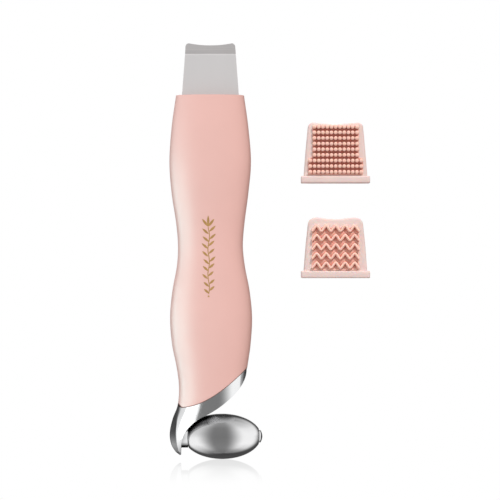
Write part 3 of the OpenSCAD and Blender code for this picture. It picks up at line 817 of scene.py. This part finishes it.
def arm_rungs():
    """The arm's cross sections from its right end to the tip.

    Each has its outer point, inner point, silhouette point or None, and its side's flatness, 0 to 1.
    """
    along, down = ARM_RUNGS
    rungs = []
    for i in range(along):
        x = mix(SEAM_RIGHT[0], HOOK_X, i / along)
        rungs.append(((x, seam_z(x) - SEAM_GAP / 2), arm_inner(0.5 * i / along), None, 0.0))
    top_z = SEAM_LEFT[1] + HOOK_RISE - SEAM_GAP / 2
    for i in range(down + 1):
        t = math.sin(math.pi / 2 * i / down)
        z = mix(CREASE[0][0], CREASE[-1][0], t)
        edge_z = mix(top_z, ARM_TIP[1], t)
        outer, edge = (curve(CREASE, z), z), (curve(LEFT_LINE, edge_z), edge_z)
        rungs.append((outer, arm_inner(0.5 + 0.5 * i / down), edge, min(1.0, 4 * i / down)))
    return rungs


def side_point(t, crease, edge, depth, flat):
    """A point of the arm's side face. t runs from 1 at the front crease to -1 at the back one."""
    share = abs(t)
    z = mix(edge[1], crease[1], share)
    y = depth * t
    full = max(0.0, 1 - (abs(y) / curve(DEPTH_LINE, z)) ** SQUARENESS)
    round_x = centre_x(z) - half_width(z) * full ** (1 / SQUARENESS)
    return (mix(round_x, mix(edge[0], crease[0], share), flat), -y, z)


def make_arm():
    """The arm as one loop of points for each rung: front face, inner wall, back face and side face."""
    points = []
    for outer, inner, edge, flat in arm_rungs():
        face = []
        for k in range(FRONT_STEPS + 1):
            t = (k / FRONT_STEPS) ** FRONT_CROWD
            x, z = mix(outer[0], inner[0], t), mix(outer[1], inner[1], t)
            face.append((x, max(0.2, skin_y(x, z)), z))
        loop = [(x, -y, z) for x, y, z in face]
        x, y, z = face[-1]
        loop += [clear_of_roller(x, mix(-y, y, k / WALL_STEPS), z) for k in range(1, WALL_STEPS)]
        loop += [(x, y, z) for x, y, z in reversed(face)]
        x, y, z = face[0]
        for k in range(1, SIDE_STEPS):
            t = 2 * k / SIDE_STEPS - 1
            loop.append((x, -y * t, z) if edge is None else side_point(t, outer, edge, y, flat))
        points += loop
    arm = make_mesh("roller_arm_skin", points, closed_faces(len(points) // len(loop), len(loop)))
    arm.data.materials.append(MATERIALS["chrome"])
    arm.data.materials.append(MATERIALS["wall"])
    for face in arm.data.polygons:
        if abs(face.normal.y) < WALL_FRONTWARD and face.normal.x > -WALL_LEFTWARD:
            face.material_index = 1
    bevel(arm, ARM_ROUND, 2, 24)
    smooth_by_angle(apply_modifiers(arm), 22)
    tenon = make_tenon()
    tenon.data.materials.append(MATERIALS["chrome"])
    arm = join("roller_arm_body", arm, tenon)
    finish_piece(arm, "handle", replaces=["roller_arm"])


def make_tenon():
    """The block that stands up from the arm inside the shells, with its screw holes."""
    inset, steps = WALL + 0.3, 12
    points = []
    for i in range(steps + 1):
        x = mix(*TENON_X, i / steps)
        front = [(x, -skin_y(x, seam_z(x) + rise, inset), seam_z(x) + rise) for rise in TENON_HEIGHTS]
        points += front + [(x, -y, z) for x, y, z in reversed(front)]
    tenon = make_mesh("tenon", points, closed_faces(steps + 1, 2 * len(TENON_HEIGHTS)))
    cutters = []
    for centre, _ in solids("arm_screws"):
        for radius, low, high in SCREW_HOLES:
            profile = [(0, low), (radius, low), (radius, high), (0, high)]
            cutters.append(lathe("cutter", profile, (centre.x, 0, centre.z), "Y", 32))
    return smooth_by_angle(cut(tenon, *cutters))


def make_gasket():
    """The thin dark seal in the seam between the shells and the arm, front and back."""
    outer, inner = GASKET_INSETS
    parts = []
    for side in (-1, 1):
        points = []
        for k in range(ACROSS + 1):
            angle = math.pi * k / ACROSS
            for inset, rise in ((outer, -1), (outer, 1), (inner, 1), (inner, -1)):
                z = foot_z(angle, inset) - SEAM_GAP / 2
                p = section(angle, z, inset)
                points.append((p.x, -side * p.y, z + rise * GASKET_HALF))
        parts.append(make_mesh("gasket", points, closed_faces(ACROSS + 1, 4)))
    gasket = smooth_by_angle(join("seam_gasket", *parts))
    finish_piece(gasket, "handle", "gasket")


make_arm()
make_gasket()


# --- roller and what holds it ---


def make_roller():
    low, high = box("roller")
    left, right = low.x, high.x
    bore, fillet, steps = box("roller_bushes")[1].z - AXIS_Z, 0.35, 90

    def radius(x):
        return ROLLER_R * math.sqrt(1 - ((x - ROLLER_X) / ROLLER_A) ** 2)

    profile = [(bore, left + 0.2), (bore + 0.2, left), (radius(left) - fillet, left)]
    for i in range(steps + 1):
        x = mix(left + fillet * 0.6, right - fillet * 0.6, (1 - math.cos(math.pi * i / steps)) / 2)
        profile.append((radius(x), x))
    profile += [(radius(right) - fillet, right), (bore + 0.2, right)]
    profile += [(bore, right - 0.2), (bore, left + 0.2)]
    roller = smooth_by_angle(lathe("roller_egg", profile, (0, 0, AXIS_Z), "X", 192), 40)
    finish_piece(roller, "roller", "mirror", ["roller"])


def make_neck():
    """The boss between the arm and the roller. Its front and back lean in towards the roller."""
    low, high = box("neck_collar")
    left, right, r = low.x, high.x, (high.z - low.z) / 2
    bore = 1.55
    profile = [
        (bore, left), (r - 0.15, left), (r, left + 0.15), (r, right - 0.2), (r - 0.06, right - 0.06),
        (r - 0.2, right), (r - 1.5, right), (r - 1.5, right - 0.35), (bore, right - 0.35), (bore, left),
    ]
    neck = lathe("neck_boss", profile, (0, 0, AXIS_Z), "X", 128)
    for vertex in neck.data.vertices:
        x, y, z = vertex.co / MM
        if math.hypot(y, z - AXIS_Z) > r - 2:
            vertex.co.y *= 1 - NECK_LEAN * (x - left) / (right - left)
    smooth_by_angle(neck, 35)
    finish_piece(neck, "handle", "neck", ["neck_collar"])


def make_cap():
    low, high = box("axle_cap")
    left, right, r = low.x, high.x, (high.z - low.z) / 2
    start, steps = left + 0.15, 18
    profile = [(0, left), (r - 0.12, left)]
    for k in range(steps + 1):
        t = math.sin(math.pi / 2 * k / steps)
        profile.append((r * max(0.0, 1 - t**1.8) ** 0.6, mix(start, right, t)))
    cap = smooth_by_angle(lathe("axle_cap_dome", profile, (0, 0, AXIS_Z), "X", 96), 40)
    finish_piece(cap, "handle", "mirror", ["axle_cap"])


make_roller()
make_neck()
make_cap()


# --- mouth seal and blade ---

# Half width and half thickness of the slot that the blade passes through
BLADE_SLOT = (13.0, 0.7)


def make_mouth_seal():
    bottom, top = (corner.z for corner in box("mouth_seal"))
    inset, turns = WALL + 0.15, 64
    points = []
    levels = ((bottom, inset), (top - 0.5, inset), (top - 0.12, inset + 0.15), (top, inset + 0.5))
    for z, draw in levels:
        half = [section(math.pi * k / turns, z, draw) for k in range(turns + 1)]
        ring = [(p.x, min(p.y, -0.3), z) for p in half]
        ring += [(x, -y, z) for x, y, _ in reversed(ring)]
        points += ring
    seal = make_mesh("mouth_seal_plug", points, closed_faces(len(levels), len(points) // len(levels)))
    w, t = BLADE_SLOT
    corners = ((-w, -t), (w, -t), (w, t), (-w, t))
    slot_points = [(x, y, z) for z in (bottom - 1, top + 1) for x, y in corners]
    cut(seal, make_mesh("cutter", slot_points, closed_faces(2, 4)))
    smooth_by_angle(seal)
    finish_piece(seal, "handle", "seal", ["mouth_seal"])


def dress_blade():
    """The blade keeps its CAD shape; its edges and its bend are rounded."""
    bevel(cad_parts["blade"], 0.14, 3, 12).harden_normals = True


make_mouth_seal()
dress_blade()


# --- silicone covers ---


def cover_outline(height, corner, inset, foot):
    """Front outline of a cover, drawn in by inset, from the left foot over the top to the right foot."""
    half, top = FOOT_W / 2 - inset, TOP_W / 2 - inset
    z, r, turns, across = height - inset, max(0.3, corner - inset), 8, 24
    points = [(-half, foot), (mix(-half, -top, 0.5), mix(foot, z, 0.5))]
    points += arc((r - top, z - r), (-r, r), 0, 90, turns)
    for k in range(1, across):
        x = mix(r - top, top - r, k / across)
        points.append((x, z - TOP_DIP * math.cos(math.pi / 2 * x / (top - r)) ** 2))
    points += [(-x, z) for x, z in reversed(points[: turns + 3])]
    return points


def rounded_stack(outline, half, radius, steps=5):
    """Rings of a plate with rounded front and back edges. outline(inset) gives a ring's points."""
    rings = []
    for k in range(steps + 1):
        a = math.pi / 2 * k / steps
        rings.append((outline(radius * (1 - math.sin(a))), -half + radius * (1 - math.cos(a))))
    return rings + [(ring, -y) for ring, y in reversed(rings)]


def box_outline(w, low, high, corner, turns=5):
    """A rectangle with rounded corners as (x, z) points."""
    points = []
    for sx, sz, start in ((1, 1, 0), (-1, 1, 90), (-1, -1, 180), (1, -1, 270)):
        centre = (sx * (w / 2 - corner), (high if sz > 0 else low) - sz * corner)
        points += arc(centre, (corner, corner), start, 90, turns)
    return points


def make_sleeve(name, node, corner):
    """The sleeve of a cover with its rim and pocket, standing at the CAD node's place."""
    low, high = box(node)
    height, rim_w = high.z - low.z, high.x - low.x
    at = Vector(((low.x + high.x) / 2, 0, low.z))

    def body(inset):
        return cover_outline(height, corner, inset, RIM_H - RIM_LAP)

    def rim(inset):
        return box_outline(rim_w - 2 * inset, inset, RIM_H - inset, RIM_CORNER)

    solid = prism(name, rounded_stack(body, COVER_T / 2, COVER_ROUND))
    combine(solid, "UNION", prism("rim", rounded_stack(rim, RIM_T / 2, RIM_ROUND, 4)))

    def pocket(inset):
        return cover_outline(height - 1, corner, COVER_WALL + inset, -1.0)

    cut(solid, prism("cutter", rounded_stack(pocket, COVER_T / 2 - COVER_WALL, 0.3, 2)))
    solid.data.transform(Matrix.Translation(at * MM))
    return smooth_by_angle(solid, 40), at


NUB_PITCH = (1.9, 2.52)
NUB_R, NUB_TIP = 0.91, 0.5
NUB_ROWS = [13, 13, 13, 11, 11, 11, 11, 11, 11]
FIRST_NUB_Z = RIM_H + 1.8
RIDGE_ROWS = 5
RIDGE_PEAKS = 5
RIDGE_PITCH = (4.26, 4.12)
RIDGE_RISE = 2.3
RIDGE_HALF = 0.66
RIDGE_BLUNT = 0.88
FIRST_RIDGE_Z = RIM_H + 1.4
BED_T = 0.25
# How deep the feet of nubs and ridges reach below the bed's surface
SUNK = 0.45
COVER_PIECES = ("nub_sleeve", "nubs", "ridge_sleeve", "ridges")


def make_bed(w, low, high, at):
    """The thin patch of silicone that the nubs and ridges stand on, with a rounded edge. It takes the
    relief's colour with its painted shade.
    """
    face = -COVER_T / 2
    rings = []
    for inset, out in ((0, -0.05), (0, BED_T * 0.5), (0.08, BED_T * 0.9), (0.2, BED_T)):
        rings.append((box_outline(w - 2 * inset, low + inset, high - inset, 0.5), face - out))
    bed = prism("bed", rings)
    bed.data.transform(Matrix.Translation(at * MM))
    return smooth_by_angle(bed, 50)


def make_nubs(at):
    """Rows of small round-ended nubs on their bed, on the cover's front."""
    foot = -COVER_T / 2 - BED_T
    top = -COVER_T / 2 - RELIEF
    profile = [(0, foot + SUNK), (NUB_R + 0.12, foot + SUNK)]
    profile += [(NUB_R + 0.1, foot), (NUB_R + 0.02, foot - 0.12)]
    profile += arc((0, top + NUB_TIP), (NUB_R, -NUB_TIP), 0, 90, 6)
    parts = []
    half = NUB_R + 0.1
    for row, count in enumerate(NUB_ROWS):
        z = FIRST_NUB_Z + NUB_PITCH[1] * row
        top_z = z + (NUB_PITCH[1] / 2 if row < len(NUB_ROWS) - 1 else 0)
        wide = NUB_PITCH[0] * (count - 1) + 2 * half
        parts.append(make_bed(wide, z - NUB_PITCH[1] / 2, top_z, at))
        for k in range(count):
            x = NUB_PITCH[0] * (k - (count - 1) / 2)
            parts.append(lathe("nub", profile, (at.x + x, 0, at.z + z), "Y", 20))
    return join("nubs", *parts)


def ridge_section(half, crest=1.0, turns=10):
    """Points across a ridge as (offset, y): up one side, over the round crest and down the other."""
    foot = -COVER_T / 2 - BED_T
    top = -COVER_T / 2 - RELIEF
    rise = [(half + 0.1, foot + SUNK), (half + 0.08, foot), (half, foot - 0.15)]
    over = arc((0, top + crest), (half, -crest), 0, 180, turns)
    return rise + over + [(-off, y) for off, y in reversed(rise)]


def ridge_line(steps=10):
    """The zigzag that a ridge follows, as (x, z) points from its lowest left end."""
    points = []
    for k in range(2 * RIDGE_PEAKS * steps + 1):
        phase = k / steps
        tooth = 0.5 - math.asin(RIDGE_BLUNT * math.cos(math.pi * phase)) / (2 * math.asin(RIDGE_BLUNT))
        points.append((RIDGE_PITCH[0] * (phase / 2 - RIDGE_PEAKS / 2), RIDGE_RISE * tooth))
    return points


def make_ridges(at):
    """Zigzag ridges with round tops and blunt peaks, each swept along its row, on their bed."""
    low = FIRST_RIDGE_Z - RIDGE_HALF - 0.5
    high = FIRST_RIDGE_Z + (RIDGE_ROWS - 1) * RIDGE_PITCH[1] + RIDGE_RISE * 0.6
    parts = [make_bed(RIDGE_PEAKS * RIDGE_PITCH[0], low, high, at)]
    line, ring = ridge_line(), ridge_section(RIDGE_HALF)
    for row in range(RIDGE_ROWS):
        row_z = at.z + FIRST_RIDGE_Z + RIDGE_PITCH[1] * row
        points = []
        for i, (x, z) in enumerate(line):
            ahead, behind = line[min(i + 1, len(line) - 1)], line[max(i - 1, 0)]
            dx, dz = ahead[0] - behind[0], ahead[1] - behind[1]
            length = math.hypot(dx, dz)
            sx, sz = -dz / length, dx / length
            points += [(at.x + x + sx * off, y, row_z + z + sz * off) for off, y in ring]
        ridge = make_mesh("ridge", points, closed_faces(len(line), len(ring)))
        parts.append(smooth_by_angle(ridge, 50))
    return join("ridges", *parts)


def make_covers():
    for kind, corner, make_relief in (("nub", 2.2, make_nubs), ("ridge", 3.4, make_ridges)):
        cover = kind + "_cover"
        sleeve, at = make_sleeve(kind + "_sleeve", cover, corner)
        finish_piece(sleeve, cover, "silicone", [cover])
        finish_piece(make_relief(at), cover, "relief", [kind + "_field"])
    for name in COVER_PIECES:
        bpy.data.objects[name].visible_glossy = False


make_covers()


# --- buttons ---

RING_W = 0.55
STEM_R = 1.4


def make_button(node):
    """A cap with a hollow top inside a bright ring, and its flange and stem behind the shell."""
    low, high = box(node)
    at = ((low.x + high.x) / 2, 0, (low.z + high.z) / 2)
    r, skin = (high.x - low.x) / 2, skin_y(0, at[2])
    inner, back = r - RING_W, skin - WALL
    cap = [(0, low.y), (STEM_R, low.y), (STEM_R, back), (inner, back), (inner, skin + 0.28)]
    cap += [(inner - 0.15, skin + 0.4), (inner - 0.6, skin + 0.38), (1.2, skin + 0.12), (0, skin + 0.1)]
    piece = smooth_by_angle(lathe(node + "_cap", cap, at, "Y", 96), 35)
    finish_piece(piece, node, "pearl", [node])
    ring = [
        (inner, back - 0.5), (r - 0.1, back - 0.5), (r, back - 0.4), (r, skin + 0.15),
        (r - 0.12, skin + 0.42), (r - 0.28, skin + 0.5), (inner + 0.08, skin + 0.42),
        (inner, skin + 0.3), (inner, back - 0.5),
    ]
    bezel = smooth_by_angle(lathe(node + "_ring", ring, at, "Y", 96), 40)
    finish_piece(bezel, node, "chrome")


make_button("power_button")
make_button("mode_button")


# --- gold ornament on the front ---

SPRIG_TOP, SPRIG_FOOT = 8.4, -21.4
SPRIG_X = -0.6
STEM_W = 0.4
BEAD_R = 0.4
LEAF_PAIRS = 9
LEAF_SIZES, LEAF_LEAN = (3.9, 2.9), 48
# How far the gold stands above the skin and reaches below it
INLAY_ABOVE, INLAY_BELOW = 0.04, -0.12


def leaf(x, z, length, width, degrees, turns=10):
    """A pointed oval with its foot at (x, z), leaning by degrees from straight up."""
    a = math.radians(degrees)
    up, across = (math.sin(a), math.cos(a)), (math.cos(a), -math.sin(a))
    points = []
    for side in (1, -1):
        for k in range(turns):
            t = k / turns if side > 0 else 1 - k / turns
            w = side * width / 2 * math.sin(math.pi * t) ** 0.8
            reach = length * t
            points.append((x + up[0] * reach + across[0] * w, z + up[1] * reach + across[1] * w))
    return points


def stem(steps=60):
    """The sprig's gently swaying middle line, from the top down."""
    heights = [mix(SPRIG_TOP, SPRIG_FOOT, k / steps) for k in range(steps + 1)]
    return [(SPRIG_X + 0.35 * math.sin((z - SPRIG_FOOT) * 0.55), z) for z in heights]


def inlay(points):
    """A thin solid of an outline, laid on the handle's front. Faces fan out from its middle."""
    n = len(points)
    mx, mz = sum(p[0] for p in points) / n, sum(p[1] for p in points) / n
    verts, faces = [], []
    for lift in (INLAY_ABOVE, INLAY_BELOW):
        for x, z in [*points, (mx, mz)]:
            verts.append((x, -(skin_y(x, z) + lift), z))
    for k in range(n):
        j = (k + 1) % n
        faces += [(k, j, n), (n + 1 + j, n + 1 + k, 2 * n + 1), (k, n + 1 + k, n + 1 + j, j)]
    return make_mesh("inlay", verts, faces, smooth=False)


def ribbon(line, width):
    """A thin solid band along a line of (x, z) points, laid on the handle's front."""
    points = []
    for x, z in line:
        for side, lift in ((-1, INLAY_ABOVE), (1, INLAY_ABOVE), (1, INLAY_BELOW), (-1, INLAY_BELOW)):
            at = x + side * width / 2
            points.append((at, -(skin_y(at, z) + lift), z))
    return make_mesh("ribbon", points, closed_faces(len(line), 4), smooth=False)


def make_ornament():
    """A sprig: a stem with pairs of leaves, three leaves at its top and a bead at its foot."""
    line = stem()
    parts = [ribbon(line, STEM_W)]
    for k in range(LEAF_PAIRS):
        x, z = line[round((k + 0.6) / LEAF_PAIRS * (len(line) - 1))]
        size = mix(*LEAF_SIZES, k / LEAF_PAIRS)
        parts.append(inlay(leaf(x + 0.1, z, size, 1.0, LEAF_LEAN)))
        parts.append(inlay(leaf(x - 0.1, z - 1.2, size, 1.0, -LEAF_LEAN)))
    x, z = line[0]
    for degrees, size in ((0, 5.0), (38, 4.4), (-38, 4.4)):
        parts.append(inlay(leaf(x, z + 0.2, size, 1.1, degrees)))
    x, z = line[-1]
    parts.append(inlay(arc((x, z - 1.0), (BEAD_R, BEAD_R), 0, 360, 20)[:-1]))
    finish_piece(join("front_ornament", *parts), "handle", "gold")


make_ornament()


# --- studio ---

CAMERA_DISTANCE = 900.0
VIEW_WIDTH = 225.0
VIEW_CENTRE = (17.8, -1.8)
FILL, FILL_LEAN = 0.55, 0.27
WARM_SIDE = (1.0, 0.78, 0.66)
# Lamps as metal reflects them: the bearings where the outer and inner side begin and are full, and how
# fast the outer side leans in with height
LEFT_LAMP, LEFT_LEAN = ((-122, -84), (-14, -58)), 0.5
RIGHT_LAMP, RIGHT_LEAN = ((125, 75), (6, 46)), 1.1
# The room's dark behind the object, and the pale patch of horizon in it
DIM_TURN, DIM_SHARE = (90, 135), 0.7
HORIZON_TURN, HORIZON_CLIMB, HORIZON_LIGHT = (160, 174), (20, 9), 0.94
# Suns: strength and the way that the light travels
SUN_SPREAD = 10
HANDLE_SUN = (1.63, (-0.2, 1.0, -0.55))
COVER_SUN = (2.45, (-0.55, 1.0, -1.5))
BACK_SUN = (1.5, (0.3, -1.0, -0.8))
# Lamps for gloss: power, colour, place, size and the point they face
SHELL_SHEEN = (2.2, (0.4, 1.0, 1.0), (-295, -100, -70), (520, 260), (0, 0, -20))
ARM_SHEEN = (0.85, (1.0, 1.0, 1.0), (-370, -470, -160), (440, 620), (-8, 0, -80))
# The floor: half its width, how far from the foot it mirrors, and how strongly
FLOOR_HALF = 1500
MIRROR_REACH, MIRROR_SHARE = 105, 0.375


def make_camera():
    data = bpy.data.cameras.new("camera")
    data.sensor_width = 36
    data.lens = data.sensor_width * CAMERA_DISTANCE / VIEW_WIDTH
    data.clip_start, data.clip_end = 0.01, 50
    camera = add_object("camera", data)
    camera.location = Vector((VIEW_CENTRE[0], -CAMERA_DISTANCE, VIEW_CENTRE[1])) * MM
    camera.rotation_euler = (math.radians(90), 0, 0)
    bpy.context.scene.camera = camera


def lamp_light(n, turn, climb):
    """What polished metal reflects: a tall lamp on each side, grey in front and above, dark behind.

    turn is the bearing in degrees, 0 towards the viewer and positive to the right. climb is the height.
    """
    level = n.math("DIVIDE", n.math("ADD", climb, 90), 180)

    def by_height(*stops):
        return n.ramp(level, [((degrees + 90) / 180, value) for degrees, value in stops])

    downward = n.math("MINIMUM", climb, 0.0)
    left = n.product(
        n.step(n.math("SUBTRACT", turn, n.product(downward, LEFT_LEAN)), *LEFT_LAMP[0]),
        n.step(turn, *LEFT_LAMP[1]),
        by_height(
            (-75, 0.05), (-58, 0.5), (-40, 0.82), (-8, 0.82), (15, 0.57), (45, 0.42), (62, 0.34),
            (78, 0.1),
        ),
    )
    upward = n.math("MAXIMUM", climb, 0.0)
    right = n.product(
        n.step(turn, *RIGHT_LAMP[1]),
        n.step(n.math("SUBTRACT", turn, n.product(upward, RIGHT_LEAN)), *RIGHT_LAMP[0]),
        by_height(
            (-80, 0.05), (-68, 0.2), (-55, 0.6), (-35, 0.85), (15, 0.85), (40, 0.75), (60, 0.4),
            (78, 0.2),
        ),
    )
    away = n.math("ABSOLUTE", turn)
    dim = n.math("SUBTRACT", 1.0, n.product(n.step(away, *DIM_TURN), DIM_SHARE))
    walls = by_height((-90, 0.18), (-55, 0.24), (0, 0.2), (45, 0.22), (75, 0.33), (90, 0.38))
    room = n.product(walls, dim)
    level_with = n.step(n.math("ABSOLUTE", climb), *HORIZON_CLIMB)
    horizon = n.product(n.step(away, *HORIZON_TURN), level_with, HORIZON_LIGHT)
    return n.math("ADD", n.math("ADD", left, right), n.math("ADD", room, horizon))


def make_world():
    """White to the camera, a lamp-lit studio in reflections, and an even soft light for the rest."""
    world = bpy.data.worlds.new("studio")
    bpy.context.scene.world = world
    world.use_nodes = True
    n = Nodes(world.node_tree)
    shiny = world.node_tree.nodes["Background"]
    x, y, z = n.split(n.add("ShaderNodeTexCoord").outputs["Generated"])
    turn = n.math("DEGREES", n.math("ARCTAN2", x, n.math("MULTIPLY", y, -1.0)))
    climb = n.math("DEGREES", n.math("ARCSINE", z))
    n.link(lamp_light(n, turn, climb), shiny.inputs["Strength"])
    shiny.inputs["Color"].default_value = (1, 1, 1, 1)
    soft = n.add("ShaderNodeBackground")
    n.link(n.math("ADD", FILL, n.math("MULTIPLY", x, -FILL_LEAN)), soft.inputs["Strength"])
    n.link(n.ramp(n.step(x, -1, 1), [(0.4, (1.0, 1.0, 1.0)), (1.0, WARM_SIDE)]), soft.inputs["Color"])
    seen = n.add("ShaderNodeBackground", Color=(1, 1, 1, 1), Strength=1.0)
    path = n.add("ShaderNodeLightPath")
    shown = soft
    for ray, background in (("Is Glossy Ray", shiny), ("Is Camera Ray", seen)):
        choose = n.add("ShaderNodeMixShader")
        n.link(path.outputs[ray], choose.inputs["Fac"])
        n.link(shown.outputs[0], choose.inputs[1])
        n.link(background.outputs[0], choose.inputs[2])
        shown = choose
    n.link(shown.outputs[0], world.node_tree.nodes["World Output"].inputs["Surface"])


def make_lamp(name, kind, power, way, lit):
    """A lamp that shines along way on the objects in lit only."""
    data = bpy.data.lights.new(name, kind)
    data.energy = power
    light = add_object(name, data)
    light.rotation_mode = "QUATERNION"
    light.rotation_quaternion = Vector(way).to_track_quat("-Z", "Y")
    receivers = bpy.data.collections.new(name + "_lit")
    for obj in lit:
        receivers.objects.link(obj)
    light.light_linking.receiver_collection = receivers
    return light


def make_suns():
    """Soft light from in front, above and behind, not seen in reflections and steeper on the covers."""
    covers = [bpy.data.objects[name] for name in COVER_PIECES]
    others = [obj for obj in bpy.data.objects if obj.type == "MESH" and obj not in covers]
    for name, (power, way), lit in (
        ("key_light", HANDLE_SUN, others),
        ("cover_light", COVER_SUN, covers),
        ("back_light", BACK_SUN, others + covers),
    ):
        sun = make_lamp(name, "SUN", power, way, lit)
        sun.data.angle = math.radians(SUN_SPREAD)
        sun.visible_glossy = False


def make_sheen(name, power, colour, place, size, aim, pieces):
    """A wide lamp that shows only in the gloss of the named pieces. Lengths are in millimetres."""
    lit = [bpy.data.objects[piece] for piece in pieces]
    light = make_lamp(name, "AREA", power, Vector(aim) - Vector(place), lit)
    light.data.color = colour
    light.data.shape, light.data.size, light.data.size_y = "RECTANGLE", size[0] * MM, size[1] * MM
    light.location = Vector(place) * MM
    light.visible_diffuse = light.visible_camera = False


def make_floor():
    """A white floor under the object, seen only by the camera.

    Its faint mirror image fades away from the foot, and is weaker when the floor is seen from higher up.
    """
    z, half = cad_box[0].z / MM, FLOOR_HALF
    points = [(-half, -half, z), (half, -half, z), (half, half, z), (-half, half, z)]
    floor = make_mesh("floor", points, [(0, 1, 2, 3)])
    floor.visible_glossy = floor.visible_diffuse = False
    floor.visible_shadow = floor.visible_transmission = False
    mat = bpy.data.materials.new("floor_white")
    mat.use_nodes = True
    n = Nodes(mat.node_tree)
    mat.node_tree.nodes.remove(mat.node_tree.nodes["Principled BSDF"])
    glow = n.add("ShaderNodeEmission", Color=(1, 1, 1, 1), Strength=1.0)
    gloss = n.add("ShaderNodeBsdfGlossy", Color=(1, 1, 1, 1), Roughness=0.03)
    away = n.add("ShaderNodeVectorMath", operation="DISTANCE")
    away.inputs[1].default_value = Vector((ROLLER_X, 0, z)) * MM
    n.link(n.place(), away.inputs[0])
    near = n.step(away.outputs["Value"], MIRROR_REACH * MM, 0)
    grazing = n.math("POWER", n.add("ShaderNodeLayerWeight", Blend=0.5).outputs["Facing"], 4)
    both = n.add("ShaderNodeMixShader")
    n.link(n.product(near, grazing, MIRROR_SHARE), both.inputs["Fac"])
    n.link(glow.outputs[0], both.inputs[1])
    n.link(gloss.outputs[0], both.inputs[2])
    n.link(both.outputs[0], mat.node_tree.nodes["Material Output"].inputs["Surface"])
    floor.data.materials.append(mat)


make_camera()
make_world()
make_floor()
make_suns()
make_sheen("shell_sheen", *SHELL_SHEEN, ("front_shell_skin", "back_shell_skin"))
make_sheen("arm_sheen", *ARM_SHEEN, ("roller_arm_body", "neck_boss"))
bpy.context.scene.view_settings.view_transform = "Standard"
